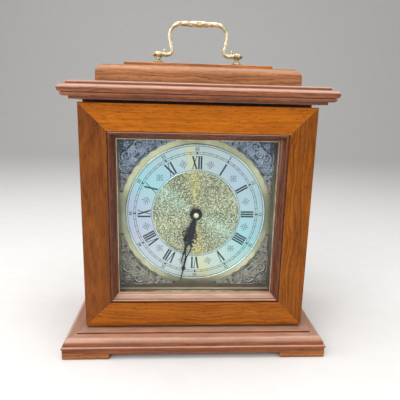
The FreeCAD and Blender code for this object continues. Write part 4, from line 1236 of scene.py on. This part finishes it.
    def figures(self) -> Stock:
        """Draws the minute figures, tops outward, with Blender's own font.

        Returns:
            The figures' mesh.
        """
        stock = Stock()
        for five in range(1, 13):
            text = bpy.data.curves.new("figure", "FONT")
            text.body = str(5 * five)
            text.align_x = text.align_y = "CENTER"
            text.size = self.figure_size
            text.offset = 0.07
            text.resolution_u = 2
            text.space_character = 1.05
            carrier = bpy.data.objects.new("figure", text)
            mesh = bpy.data.meshes.new_from_object(carrier)
            places = [(v.co.x * self.figure_squeeze, v.co.y + self.figure_radius) for v in mesh.vertices]
            stock.add([(x, RING_FACE - self.ink, DIAL_LEVEL + z) for x, z in self.turned(places, 30 * five)],
                      [tuple(p.vertices) for p in mesh.polygons])
            bpy.data.objects.remove(carrier)
            bpy.data.meshes.remove(mesh)
            bpy.data.curves.remove(text)
        return stock

    def build(self) -> None:
        """Builds the printing in three pieces."""
        numerals, marks = Stock(), Stock()
        for hour, text in enumerate(HOURS, 1):
            self.numeral(numerals, 30 * hour, text)
        self.track(marks)
        for half_hour in range(12):
            self.star(marks, 30 * half_hour + 15)
        for name, stock in (("hour_numerals", numerals), ("minute_track", marks),
                            ("minute_figures", self.figures())):
            stock.piece(name, INK, "case", "silvered_metal", smooth=None)


# ---- the corner castings ---------------------------------------------------------------------------
@dataclass
class CornerCasting:
    """The four cast corner pieces of the dial, worked as relief on a grid.

    Args:
        edge: From the hands' axis to the casting's straight edges.
        inner_radius: Radius of its hollow edge.
        lobe: How far the hollow edge waves.
        lobes: Number of waves.
        tip: Where its arms end, from the hands' axis.
        spacing: Distance between grid lines.
        ground: Thickness of the ground plate.
        rise: Height of the relief above the ground.
        shell: Middle of the corner's shell, right of the hands' axis and above it.
        flower: Middle of the corner's flower, likewise.
        curls: How many small curls are tried on the ground.
    """

    edge: float = 81.0
    inner_radius: float = 81.6
    lobe: float = 1.1
    lobes: int = 11
    tip: float = 22.5
    spacing: float = 0.5
    ground: float = 0.7
    rise: float = 1.7
    shell: float = 71.5
    flower: float = 73.6
    curls: int = 420

    def outside(self, x: np.ndarray, z: np.ndarray) -> np.ndarray:
        """Gives how far places lie outside the casting's outline.

        Args:
            x: Places right of the hands' axis.
            z: Places above it.

        Returns:
            Distance outside the outline, negative inside.
        """
        radius = np.hypot(x, z)
        angle = np.arctan2(z, x)
        wave = self.lobe * np.abs(np.sin(angle * self.lobes * 2)) - self.lobe
        hollow = self.inner_radius + wave - radius
        straight = np.maximum(x, z) - self.edge
        ends = self.tip - np.minimum(x, z)
        return np.maximum(np.maximum(hollow, straight), ends)

    def strokes(self) -> list[tuple[np.ndarray, np.ndarray, float]]:
        """Lays out the scrolls of one half, from the corner to the arm's tip.

        Returns:
            Lists of points, their half widths, and the stroke's height share.
        """
        made: list[tuple[np.ndarray, np.ndarray, float]] = []

        def scroll(centre: Point, radius: float, start: float, sweep: float, width: float,
                   close: float = 0.28) -> None:
            """Adds a scroll that thins as it winds in and ends in a knob."""
            line = spiral(centre, radius, start, sweep, close, max(24, int(abs(sweep) / 6)))
            thinning = width * (1 - 0.45 * np.linspace(0, 1, len(line)))
            made.extend([(line, thinning, 1.0), (line[-1:], np.array([width * 1.25]), 1.05)])

        def leaf(root: Point, tip: Point, bend: float, width: float) -> None:
            """Adds a leaf that swells between its root and tip.

            Args:
                root: Where it springs.
                tip: Where it ends.
                bend: How far it bends aside, as a share of its length.
                width: Half width of its widest place.
            """
            t = np.linspace(0, 1, 18)
            a, b = np.array(root), np.array(tip)
            side = np.array([a[1] - b[1], b[0] - a[0]])
            line = a + (b - a) * t[:, None] + side * (bend * 4 * t * (1 - t))[:, None]
            made.append((line, width * np.sin(np.pi * np.clip(t * 0.85 + 0.12, 0, 1)), 0.85))

        def around(middle: float, reach: float, degrees: float) -> Point:
            """Returns a place round a middle on the corner's diagonal."""
            a = math.radians(degrees)
            return (middle + reach * math.cos(a), middle + reach * math.sin(a))

        # The shell at the corner, with leaves that fan towards the ring.
        for step in range(-2, 3):
            turn = 225 + 21 * step
            leaf(around(self.shell, 2.5, turn), around(self.shell, 11.5 - 0.9 * abs(step), turn), 0.0, 1.5)
        knobs = [(around(self.flower, 2.5, 72 * petal + 45), 1.75, 1.0) for petal in range(5)]
        for centre, radius, height in knobs + [((self.flower, self.flower), 1.3, 1.15)]:
            made.append((np.array([centre]), np.array([radius]), height))
        # Scrolls along the arm, each smaller than the last, with leaves springing between them.
        for numbers in (
                ((73.3, 60.2), 5.9, 110, -520, 0.8, 0.2), ((66.0, 57.6), 3.6, 300, 460, 0.65),
                ((76.2, 49.0), 3.9, 95, -470, 0.7), ((70.3, 48.6), 2.6, 280, 420, 0.55),
                ((74.2, 40.6), 2.7, 250, 400, 0.8), ((78.4, 41.5), 1.8, 80, -340, 0.65),
                ((77.9, 34.2), 1.9, 100, -380, 0.65)):
            scroll(*numbers)
        for root, tip, bend, width in (
                ((79.6, 66.5), (79.4, 55.5), 0.18, 0.95), ((69.0, 64.0), (63.6, 63.2), 0.2, 0.9),
                ((67.8, 54.0), (72.6, 53.4), -0.25, 0.8), ((79.7, 55.0), (79.6, 46.0), 0.15, 0.7),
                ((71.5, 45.2), (76.0, 44.8), -0.2, 0.7), ((76.2, 38.2), (79.7, 37.6), 0.2, 0.6),
                ((77.4, 31.6), (80.0, 26.0), 0.12, 0.65), ((79.0, 32.0), (79.6, 24.0), -0.05, 0.5),
                ((62.0, 59.0), (61.0, 64.0), 0.2, 0.7), ((65.5, 52.6), (68.6, 51.0), 0.2, 0.6)):
            leaf(root, tip, bend, width)
        return made

    def relief(self, x: np.ndarray, z: np.ndarray, outside: np.ndarray) -> np.ndarray:
        """Gives the height of the casting above the dial plate.

        Args:
            x: Places right of the hands' axis.
            z: Places above it.
            outside: Distance outside the outline.

        Returns:
            Heights in millimetres.
        """
        high, low = np.maximum(x, z), np.minimum(x, z)
        share = np.zeros_like(x)
        for line, half_width, height in self.strokes():
            share = np.maximum(share, height * domed(distance_to(line, half_width, high, low, 2.5, True)))
        draws = np.random.default_rng(7)
        # Small curls fill the ground between the scrolls, as the casting is closely covered.
        for _ in range(self.curls):
            spot = draws.uniform((58, 24), (80.5, 80.5))
            if spot[1] > spot[0] or self.outside(np.array(spot[0]), np.array(spot[1])) > -1.5:
                continue
            turn = draws.uniform(0, 2 * math.pi)
            a = turn + np.linspace(0, 4.2, 14)
            line = spot + draws.uniform(0.8, 1.7) * np.stack([np.cos(a), np.sin(a)], 1)
            near = domed(distance_to(line, 0.42, high, low, 0.5, True))
            share = np.maximum(share, np.where(share < 0.35, near * 0.75, 0))
        share = np.maximum(share, 0.5 * domed((outside + 0.55) / 0.5))
        grain = 0.06 * np.sin(x * 3.1 + 1.7 * np.sin(z * 2.3)) * np.sin(z * 3.7)
        return self.ground + self.rise * np.clip(share + grain, 0, 1.15)

    def build(self) -> None:
        """Builds the four castings from one pattern, turned a quarter for each corner."""
        low = self.tip - 1
        grid = WornGrid((low, low), (self.edge + 1, self.edge + 1), self.spacing)
        points, faces = grid.work(self.outside, self.relief)
        for turn, name in enumerate(("top_right", "bottom_right", "bottom_left", "top_left")):
            stock = Stock()
            stock.add(turned_points(points, 90 * turn, PLATE_FRONT), faces)
            stock.piece(f"corner_casting_{name}", RELIEF, "case", "spandrel_brass",
                        (f"spandrel_{name}",), 60.0)


# ---- ring, hands and their nut ---------------------------------------------------------------------
@dataclass
class RingRims:
    """The two turned beads that edge the silvered ring.

    Args:
        outer: Radius of the ring's edge.
        inner: Radius of its bore.
        width: Width of the outer bead.
        inner_width: Width of the inner bead.
        rise: Height of the outer bead above the ring's face.
    """

    outer: float = 75.05
    inner: float = 46.25
    width: float = 1.5
    inner_width: float = 0.9
    rise: float = 0.45

    def bead(self, low: float, high: float, rise: float) -> list[Point]:
        """Gives the section of a round bead between two radii.

        Args:
            low: Its inner radius.
            high: Its outer radius.
            rise: Its height above the ring's face.

        Returns:
            Points (radius, y).
        """
        middle, half = (low + high) / 2, (high - low) / 2
        crown = [(middle - half * math.cos(math.radians(a)), RING_FACE - rise * math.sin(math.radians(a)))
                 for a in range(0, 181, 30)]
        return crown + [(high, PLATE_FRONT - 0.05), (low, PLATE_FRONT - 0.05)]

    def build(self) -> None:
        """Builds both beads as one piece."""
        stock = Stock()
        stock.hoop(self.bead(self.outer - self.width, self.outer, self.rise))
        stock.hoop(self.bead(self.inner, self.inner + self.inner_width, self.rise / 2))
        stock.piece("ring_beads", RING_RIM, "case", "silvered_metal")


@dataclass
class PiercedHand:
    """A serpentine hand: hub, swelling stem, scrolls, an open bow and a long point.

    Args:
        name: Name of the piece.
        node: The CAD node that it stands for.
        body: The body that it rides on.
        angle: Its angle at rest, clockwise from twelve.
        length: From the hub's middle to the point.
        hub: Radius of the hub.
        bore: Radius of the hole in the hub.
        scroll: Radius of the large scrolls.
        scroll_at: Their distance from the hub's middle.
        scroll_out: Their distance from the hand's middle line.
        bow_end: Where the open bow ends.
        bow: How far the bow swells from the middle line.
        cross: Where the cross swelling is, or 0 for none.
        thickness: Thickness of the sheet.
    """

    name: str
    node: str
    body: str
    angle: float
    length: float
    hub: float
    bore: float
    scroll: float
    scroll_at: float
    scroll_out: float
    bow_end: float
    bow: float
    cross: float
    thickness: float = 0.5

    def strokes(self) -> list[tuple[np.ndarray, np.ndarray]]:
        """Lays the hand out, pointing up.

        Returns:
            Lists of points with their half widths.
        """
        made: list[tuple[np.ndarray, np.ndarray]] = []

        def run(start: Point, end: Point, first: float, last: float, swell: float = 0.0) -> None:
            """Adds a tapered stroke.

            Args:
                start: One end.
                end: The other end.
                first: Half width at the start.
                last: Half width at the end.
                swell: How far its middle bends aside.
            """
            t = np.linspace(0, 1, 60)
            side = swell * np.sin(np.pi * t)
            line = np.stack([start[0] + (end[0] - start[0]) * t + side,
                             start[1] + (end[1] - start[1]) * t], 1)
            made.append((line, first + (last - first) * t))

        def curl(centre: Point, radius: float, start: float, sweep: float, width: float) -> None:
            """Adds a scroll that is thin in its middle and ends in a knob."""
            line = spiral(centre, radius, start, sweep, 0.35, 70, 1.3)
            thinning = width * (1 - 0.35 * np.sin(np.pi * np.linspace(0, 1, len(line))))
            made.extend([(line, thinning), (line[-1:], np.array([width * 1.45]))])

        stem = self.scroll_at - self.scroll * 0.6
        run((0, self.hub - 1.5), (0, stem * 0.62), 1.9, 2.9)
        run((0, stem * 0.62), (0, stem + 1.0), 2.9, 1.8)
        low, high = stem - 0.5, self.bow_end
        for sign, flip in ((-1, 180), (1, 0)):
            # The large scroll, then the small ones below and above it: how far out and up from the large
            # scroll's middle, size, start, sweep and width.
            for out, up, size, start, sweep, width in (
                    (1.0, 0.0, 1.0, -150, 330, 0.72), (0.72, -1.55, 0.5, 150, -300, 0.6),
                    (0.62, 1.6, 0.48, -160, 310, 0.55)):
                curl((sign * self.scroll_out * out, self.scroll_at + self.scroll * up), self.scroll * size,
                     flip + sign * start, sign * sweep, width)
            run((sign * 0.6, low), (sign * 0.35, high), 0.75, 0.55, sign * self.bow)
            run((sign * 0.2, self.scroll_at + self.scroll * 0.9), (sign * self.scroll_out * 0.5,
                self.scroll_at + self.scroll * 1.2), 0.8, 0.6)
        run((0, low), (0, self.scroll_at + self.scroll), 1.2, 0.9)
        run((0, high - 1.0), (0, self.length * 0.9), 1.15, 0.62)
        run((0, self.length * 0.9), (0, self.length - 0.2), 0.62, 0.22)
        if self.cross:
            run((0, self.cross - 3.0), (0, self.cross), 0.6, 2.3)
            run((0, self.cross), (0, self.cross + 3.0), 2.3, 0.6)
        return made

    def outside(self, x: np.ndarray, z: np.ndarray) -> np.ndarray:
        """Gives how far places lie outside the hand's outline.

        Args:
            x: Places right of the middle line.
            z: Places above the hub's middle.

        Returns:
            Distance outside the outline, negative inside.
        """
        radius = np.hypot(x, z)
        far = radius - self.hub
        for line, half in self.strokes():
            far = np.minimum(far, distance_to(line, half, x, z, 4.0))
        return np.maximum(far, self.bore - radius)

    def height(self, x: np.ndarray, z: np.ndarray, outside: np.ndarray) -> np.ndarray:
        """Gives the sheet's height, with softened edges.

        Args:
            x: Places right of the middle line.
            z: Places above the hub's middle.
            outside: Distance outside the outline.

        Returns:
            Heights in millimetres.
        """
        soft = np.clip(-outside / 0.35, 0, 1)
        return self.thickness * (0.45 + 0.55 * np.sqrt(soft * (2 - soft)))

    def build(self) -> None:
        """Builds the hand."""
        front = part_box(self.node)[0].y / MM
        reach = self.scroll_out + self.scroll + 1.5
        grid = WornGrid((-reach, -self.hub - 0.6), (reach, self.length + 0.6), 0.24)
        points, faces = grid.work(self.outside, self.height)
        stock = Stock()
        stock.add(turned_points(points, self.angle, front + self.thickness), faces)
        stock.piece(self.name, BLUED, self.body, "blued_black", (self.node,), 40.0)


@dataclass
class HandNut:
    """The domed nut in the middle of the hands, and the collar behind the hour hand.

    Args:
        radius: Radius of the nut.
        height: Height of the nut.
        step: Height of its straight foot, below the dome.
        collar_bore: Inner radius of the hour hand's collar.
        collar_radius: Outer radius of the collar.
        collar_length: Length of the collar.
        overlap: How far the collar reaches into the hour hand.
    """

    radius: float = 3.1
    height: float = 2.7
    step: float = 0.7
    collar_bore: float = 1.6
    collar_radius: float = 3.6
    collar_length: float = 0.9
    overlap: float = 0.05

    def build(self) -> None:
        """Builds the nut and the collar."""
        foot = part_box("minute_hand")[0].y / MM

        def at(radius: float, out: float, angle: float) -> Point3:
            """Returns a point in front of the minute hand."""
            return (radius * math.cos(angle), foot - out, DIAL_LEVEL + radius * math.sin(angle))

        profile = [(self.radius * 0.93, 0.0), (self.radius, 0.25), (self.radius, self.step)]
        for turn in range(12, 85, 9):
            a = math.radians(turn)
            profile.append((self.radius * math.cos(a),
                            self.step + (self.height - self.step) * math.sin(a)))
        nut = Stock()
        nut.lathe(profile + [(0.12, self.height)], at, 40)
        nut.piece("domed_hand_nut", NUT_BRASS, "minute_train", "dial_brass", ("hand_nut",), 50.0)
        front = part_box("hour_hand")[0].y / MM + PiercedHand.thickness - self.overlap
        back = front + self.collar_length
        collar = Stock()
        collar.hoop(((self.collar_bore, front), (self.collar_radius, front), (self.collar_radius, back),
                     (self.collar_bore, back)), 48)
        collar.piece("hour_collar", TURNED_BRASS, "hour_train", "dial_brass")


# ---- the handle ------------------------------------------------------------------------------------
# Turned profiles of the handle's fittings, as (radius, distance along the axis).
BUD = ((0.1, -0.5), (1.5, 0.0), (1.7, 1.8), (1.15, 2.9), (1.5, 3.6), (1.75, 4.4), (1.4, 5.3), (0.1, 5.8))
PIN = ((1.55, -1.0), (1.55, 6.6))
ACORN = ((1.2, 0.0), (2.1, 0.1), (2.45, 0.6), (2.4, 1.1), (1.85, 1.35), (2.15, 1.7), (1.9, 2.2), (1.2, 2.7),
         (0.7, 3.0), (0.2, 3.2))
POST = ((3.3, 0.0), (3.6, 0.3), (3.6, 1.2), (2.9, 1.7), (1.9, 2.2), (1.7, 3.0), (2.4, 3.7), (2.4, 4.2),
        (1.8, 4.7), (1.8, 6.0))
BARREL = ((2.6, 3.0), (3.3, 2.9), (3.5, 2.3), (3.35, 1.7), (3.75, 1.0), (3.8, 0.0), (3.75, -1.0),
          (3.35, -1.7), (3.5, -2.3), (3.3, -2.9), (2.6, -3.0))
ROSETTE = ((11.4, 0.0), (12.0, 0.35), (11.8, 0.9), (10.6, 1.35), (9.0, 1.75), (7.4, 2.35), (6.2, 3.0),
           (5.2, 3.3), (4.6, 3.3), (4.5, 3.75), (4.2, 4.0), (3.0, 4.05))


@dataclass
class CastHandle:
    """The cast bail with its turned posts, acorns and rosettes.

    Args:
        y: Depth of the bail's plane.
        pivot: Height of the pivots.
        grip: Height of the grip's middle.
        grip_half: Half length of the straight grip.
        shoulder: Radius of a shoulder's bend.
        shoulder_x: The bend's centre, from the middle.
        lean: Inward lean of a leg, in degrees.
        curl: Radius of a foot's bend.
        end: Where the bail's foot ends, from the middle.
        post: Distance of a post from the middle.
        bud: Distance of an upright bud from the middle.
        acorn: Distance of an acorn's foot from its post's axis.
        rest: Height of the plinth's top, where the rosettes lie.
        rosette: Height of a post's foot above it.
    """

    y: float = (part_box("bail")[0].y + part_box("bail")[1].y) / 2 / MM
    pivot: float = 305.9
    grip: float = 337.4
    grip_half: float = 18.0
    shoulder: float = 12.5
    shoulder_x: float = 18.0
    lean: float = 13.0
    curl: float = 4.6
    end: float = 38.7
    post: float = 42.0
    bud: float = 35.8
    acorn: float = 3.3
    rest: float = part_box("top_plinth")[1].z / MM
    rosette: float = 3.7

    def round_pivot(self, x: float, sign: int) -> Placing:
        """Returns the placing of a form turned round the pivots' line, from x along the sign."""
        return lambda radius, along, angle: (x + sign * along, self.y + radius * math.cos(angle),
                                             self.pivot + radius * math.sin(angle))

    def round_upright(self, x: float, foot: float, sign: int = 1, squash: float = 1.0) -> Placing:
        """Returns the placing of a form turned round an upright line, which grows from its foot."""
        return lambda radius, high, angle: (x + sign * radius * math.cos(angle) * squash,
                                            self.y + radius * math.sin(angle), foot + high)

    def route(self) -> list[tuple[float, float, float, float]]:
        """Follows the right half from the middle of the grip to the foot's end.

        Returns:
            Points (x, z), the way's angle in degrees, and the distance from the middle of the grip.
        """
        lean = math.radians(self.lean)
        places = [(self.grip_half * i / 25, self.grip, 0.0) for i in range(25)]
        for i in range(25):
            a = math.radians(90 - (90 + self.lean) * i / 24)
            places.append((self.shoulder_x + self.shoulder * math.cos(a),
                           self.grip - self.shoulder + self.shoulder * math.sin(a), math.degrees(a) - 90))
        x, z, _ = places[-1]
        low = self.pivot + self.curl + self.curl * math.sin(lean)
        run = (z - low) / math.cos(lean)
        for i in range(1, 13):
            places.append((x - run * i / 12 * math.sin(lean), z - run * i / 12 * math.cos(lean),
                           -90 - self.lean))
        x, z, _ = places[-1]
        middle = (x + self.curl * math.cos(lean), self.pivot + self.curl)
        for i in range(1, 15):
            a = math.radians(180 + self.lean + (90 - self.lean) * i / 14)
            places.append((middle[0] + self.curl * math.cos(a), middle[1] + self.curl * math.sin(a),
                           math.degrees(a) + 90 - 360))
        x = places[-1][0]
        places += [(x + (self.end - x) * i / 8, self.pivot, 0.0) for i in range(1, 9)]
        length, ways = 0.0, [0.0]
        for here, after in zip(places, places[1:]):
            length += math.dist(here[:2], after[:2])
            ways.append(length)
        return [(x, z, turn, way) for (x, z, turn), way in zip(places, ways)]

    @staticmethod
    def thickness(way: float, total: float, around: float) -> float:
        """Gives the casting's radius along and round it.

        Args:
            way: Distance along from the middle of the grip.
            total: Length of the half.
            around: Angle round the section, 90 degrees at the outer side.

        Returns:
            The radius in millimetres.
        """
        def swell(middle: float, width: float) -> float:
            """Returns a bump of height 1 round a place."""
            return math.exp(-((way - middle) / width) ** 2)

        # The spindle grip with a ring and a swelling beyond it, the waist of the leg, and the foot's collars.
        radius = 1.95 + 1.0 * swell(0, 8.5) + 0.55 * swell(13.5, 2.6) + 0.4 * swell(21, 4.0)
        radius -= 0.35 * swell(38, 7.0)
        radius += 0.7 * swell(total - 5.2, 0.9) + 0.75 * swell(total - 0.4, 1.1)
        # Leaves wrapped round the grip and the shoulder: ribs that wind, and veins between them.
        leaf = swell(0, 11.5) * math.cos(5 * around + way * 0.62)
        leaf += 0.8 * swell(19.5, 5.5) * math.cos(4 * around - way * 0.85)
        radius += 0.34 * leaf + 0.10 * math.sin(way * 2.6 + 3 * around) * (swell(0, 12) + swell(21, 6))
        # Two leaf tips turn down under the grip.
        under = max(0.0, -math.sin(around)) ** 3
        return radius + 1.15 * under * swell(8.0, 1.5)

    def casting(self) -> Stock:
        """Works the bail: both halves swept along one line, with pins and upright buds.

        Returns:
            The bail's mesh.
        """
        stock = Stock()
        half = self.route()
        total = half[-1][3]
        whole = [(-x, z, 180 - turn, way) for x, z, turn, way in reversed(half[1:])] + half
        sides = 28
        points = []
        for x, z, turn, way in whole:
            a = math.radians(turn if x >= 0 else 180 - turn)
            up = (-math.sin(a) if x >= 0 else math.sin(a), math.cos(a))
            for i in range(sides):
                b = 2 * math.pi * i / sides
                r = self.thickness(way, total, b)
                points.append((x + up[0] * r * math.sin(b), self.y + r * math.cos(b) * 0.94,
                               z + up[1] * r * math.sin(b)))
        stock.add(points, bands(len(whole), sides))
        for sign in (-1, 1):
            bud = self.round_upright(sign * self.bud, self.pivot, sign, 0.8)
            stock.lathe(BUD[::sign], bud, 20)
            stock.lathe(PIN[::sign], self.round_pivot(sign * self.end, sign), 20)
        return stock

    def acorns(self) -> Stock:
        """Turns the two acorns at the ends of the pivot pins.

        Returns:
            Their mesh.
        """
        stock = Stock()
        for sign in (-1, 1):
            stock.lathe(ACORN[::sign], self.round_pivot(sign * (self.post + self.acorn), sign), 28)
        return stock

    def posts(self) -> Stock:
        """Turns the two posts: foot, waist and barrel eye.

        Returns:
            Their mesh.
        """
        stock = Stock()
        for x in (-self.post, self.post):
            stock.lathe(POST, self.round_upright(x, self.rest + self.rosette), 28)
            stock.lathe(BARREL, self.round_pivot(x, 1), 28)
        return stock

    def rosettes(self) -> Stock:
        """Works the two petalled rosettes under the posts.

        Returns:
            Their mesh.
        """
        stock = Stock()
        for x in (-self.post, self.post):
            def at(radius: float, high: float, angle: float) -> Point3:
                """Places a point of the rosette, drawn in and sunk between its ten petals.

                Args:
                    radius: Its distance from the post's axis.
                    high: Its height above the plinth.
                    angle: Its angle round the axis.

                Returns:
                    The point.
                """
                between = 1 - abs(math.cos(5 * angle))
                lobed = 1 - 0.10 * (radius / 12) ** 2 * between
                dip = 0.35 * math.sin(min(1.0, radius / 12) * math.pi) * between
                return (x + radius * lobed * math.cos(angle), self.y + radius * lobed * math.sin(angle),
                        self.rest + max(0.0, high - dip))

            stock.lathe(ROSETTE, at, 80)
        return stock

    def build(self) -> None:
        """Builds the handle's pieces."""
        self.casting().piece("cast_bail", CAST_BRASS, "carrying_handle", "antique_brass", ("bail",), 50.0)
        for stock, name, body, node in (
                (self.acorns(), "turned_acorns", "carrying_handle", "bail_acorns"),
                (self.posts(), "turned_posts", "case", "handle_posts"),
                (self.rosettes(), "petalled_rosettes", "case", "handle_rosettes")):
            stock.piece(name, POST_BRASS, body, "antique_brass", (node,), 40.0)


# ---- the door's fittings ---------------------------------------------------------------------------
@dataclass
class SightSlip:
    """The thin brass slip that lines the door's sight opening in front of the glass.

    Args:
        half_width: Half width of the opening.
        half_height: Half height of the opening.
        front: Its front edge's y.
        back: Its back edge's y, just clear of the glass.
        thickness: Thickness of the slip.
    """

    half_width: float = 80.5
    half_height: float = 80.5
    front: float = -49.0
    back: float = -44.9
    thickness: float = 0.5

    def build(self) -> None:
        """Builds the slip as one mitred frame."""
        points, faces = [], []
        for inset in (0.0, self.thickness):
            for y in (self.front, self.back):
                for x, z in ((-1, -1), (1, -1), (1, 1), (-1, 1)):
                    points.append((x * (self.half_width - inset), y,
                                   DIAL_LEVEL + z * (self.half_height - inset)))
        for i in range(4):
            j = (i + 1) % 4
            faces += [(i, j, 8 + j, 8 + i), (4 + i, 12 + i, 12 + j, 4 + j), (8 + i, 8 + j, 12 + j, 12 + i),
                      (i, 4 + i, 4 + j, j)]
        stock = Stock()
        stock.add(points, faces)
        stock.piece("sight_slip", SIGHT_BRASS, "front_door", "dial_brass", smooth=None)


# ---- the studio ------------------------------------------------------------------------------------
@dataclass
class Studio:
    """Floor, light and camera.

    Args:
        eye: The camera's place, in millimetres.
        yaw: Its turn to the right of straight ahead, in degrees.
        pitch: Its tilt down.
        roll: Its lean.
        lens: Focal length over a 36 mm sensor.
        room_light: Strength of the room's own light on the clock.
        room_seen: Strength of the room as the camera, gloss and glass see it.
    """

    eye: Point3 = (-21.6, -443.3, 248.7)
    yaw: float = 3.52
    pitch: float = 12.63
    roll: float = 1.42
    lens: float = 35.96
    room_light: float = 0.34
    room_seen: float = 0.95

    def camera(self) -> None:
        """Sets the camera where the photograph was taken from."""
        y, p, t = (math.radians(v) for v in (self.yaw, self.pitch, self.roll))
        ahead = Vector((math.sin(y) * math.cos(p), math.cos(y) * math.cos(p), -math.sin(p)))
        right = Vector((math.cos(y), -math.sin(y), 0.0))
        up = right.cross(ahead)
        leaned_right = right * math.cos(t) + up * math.sin(t)
        leaned_up = up * math.cos(t) - right * math.sin(t)
        data = bpy.data.cameras.new("camera")
        data.sensor_width = 36.0
        data.lens = self.lens
        data.clip_start = 0.01
        data.clip_end = 50.0
        made = bpy.data.objects.new("camera", data)
        bpy.context.scene.collection.objects.link(made)
        turn = Matrix((leaned_right, leaned_up, -ahead)).transposed().to_4x4()
        made.matrix_world = Matrix.Translation(Vector(self.eye) * MM) @ turn
        bpy.context.scene.camera = made

    @staticmethod
    def floor() -> None:
        """Lays a sheet of pale paper that curves up far behind the clock."""
        reach, back, bend = 4000.0, 2600.0, 900.0
        profile = [(-3000.0, 0.0), (back - bend, 0.0)]
        profile += [(back - bend + bend * math.sin(math.radians(a)), bend - bend * math.cos(math.radians(a)))
                    for a in range(6, 91, 6)]
        profile.append((back, 4200.0))
        stock = Stock()
        stock.add([(x, y, z) for y, z in profile for x in (-reach, reach)],
                  [(2 * i, 2 * i + 1, 2 * i + 3, 2 * i + 2) for i in range(len(profile) - 1)])
        sheet = stock.stand("studio_floor", FLOOR_PAPER)
        sheet.data.shade_smooth()

    @staticmethod
    def lamp(name: str, place: Sequence[float], target: Sequence[float], size: Point, watts: float) -> None:
        """Hangs a soft box.

        Args:
            name: Name of the lamp.
            place: Its place, in metres.
            target: What it points at, in metres.
            size: Its width and height, in metres.
            watts: Its power.
        """
        data = bpy.data.lights.new(name, "AREA")
        data.shape = "RECTANGLE"
        data.size, data.size_y = size
        data.energy = watts
        made = bpy.data.objects.new(name, data)
        made.location = place
        made.rotation_mode = "QUATERNION"
        made.rotation_quaternion = (Vector(target) - Vector(place)).to_track_quat("-Z", "Y")
        bpy.context.scene.collection.objects.link(made)

    def light(self) -> None:
        """Lights the clock softly, with a large box overhead that the top mouldings mirror."""
        middle = (0.0, 0.0, 0.15)
        for name, place, size, watts in (
                ("key", (-0.75, -1.05, 0.95), (0.8, 0.8), 9.0), ("fill", (0.95, -0.85, 0.55), (0.8, 0.8), 3.5),
                ("window", (-1.25, -0.25, 0.35), (0.5, 1.1), 7.0),
                ("overhead", (0.0, -0.10, 1.25), (1.2, 0.9), 12.0)):
            self.lamp(name, place, middle, size, watts)
        world = bpy.data.worlds.new("studio")
        bpy.context.scene.world = world
        world.use_nodes = True
        tree = world.node_tree
        tree.nodes.clear()
        bench, ray = Bench(tree), add_node(tree, "LightPath")
        seen = bench.maths("MAXIMUM", ray.outputs["Is Camera Ray"], ray.outputs["Is Glossy Ray"])
        shown = bench.maths("MAXIMUM", seen, ray.outputs["Is Transmission Ray"])
        strength = add_node(tree, "MapRange", {0: shown, 3: self.room_light, 4: self.room_seen})
        sky = add_node(tree, "Background", {"Color": grey(1.0), "Strength": strength.outputs[0]})
        add_node(tree, "OutputWorld", {"Surface": sky.outputs[0]})

    def build(self) -> None:
        """Builds the studio."""
        self.camera()
        self.floor()
        self.light()
        bpy.context.scene.view_settings.view_transform = "Standard"


# ---- the CAD solids --------------------------------------------------------------------------------
@dataclass
class CarriedSolids:
    """The CAD nodes that stay as they are, each with its finish.

    Args:
        finishes: Finish of each node.
    """

    finishes: dict[str, Finish] = field(default_factory=lambda: NODE_FINISHES)

    def build(self) -> None:
        """Dresses every CAD node."""
        for name, solid in frame["nodes"].items():
            finish = self.finishes[name]
            solid.data.materials.clear()
            solid.data.materials.append(finish.material())
            log.info("%s: %s", name, finish.name)


def main() -> None:
    """Builds the clock's looks in order."""
    logging.basicConfig(level=logging.INFO, format="%(name)s %(message)s")
    Studio().build()
    CarriedSolids().build()
    RingRims().build()
    ChapterPrint().build()
    CornerCasting().build()
    SightSlip().build()
    PiercedHand("pierced_hour_hand", "hour_hand", "hour_train", angle=196.0, length=56.0, hub=6.5, bore=1.6,
                scroll=4.0, scroll_at=24.0, scroll_out=5.0, bow_end=38.0, bow=2.6, cross=0.0).build()
    PiercedHand("pierced_minute_hand", "minute_hand", "minute_train", angle=192.0, length=77.5, hub=5.7,
                bore=1.5, scroll=3.5, scroll_at=29.0, scroll_out=4.6, bow_end=48.5, bow=2.3, cross=61.0).build()
    HandNut().build()
    CastHandle().build()


if __name__ == "__main__":
    main()
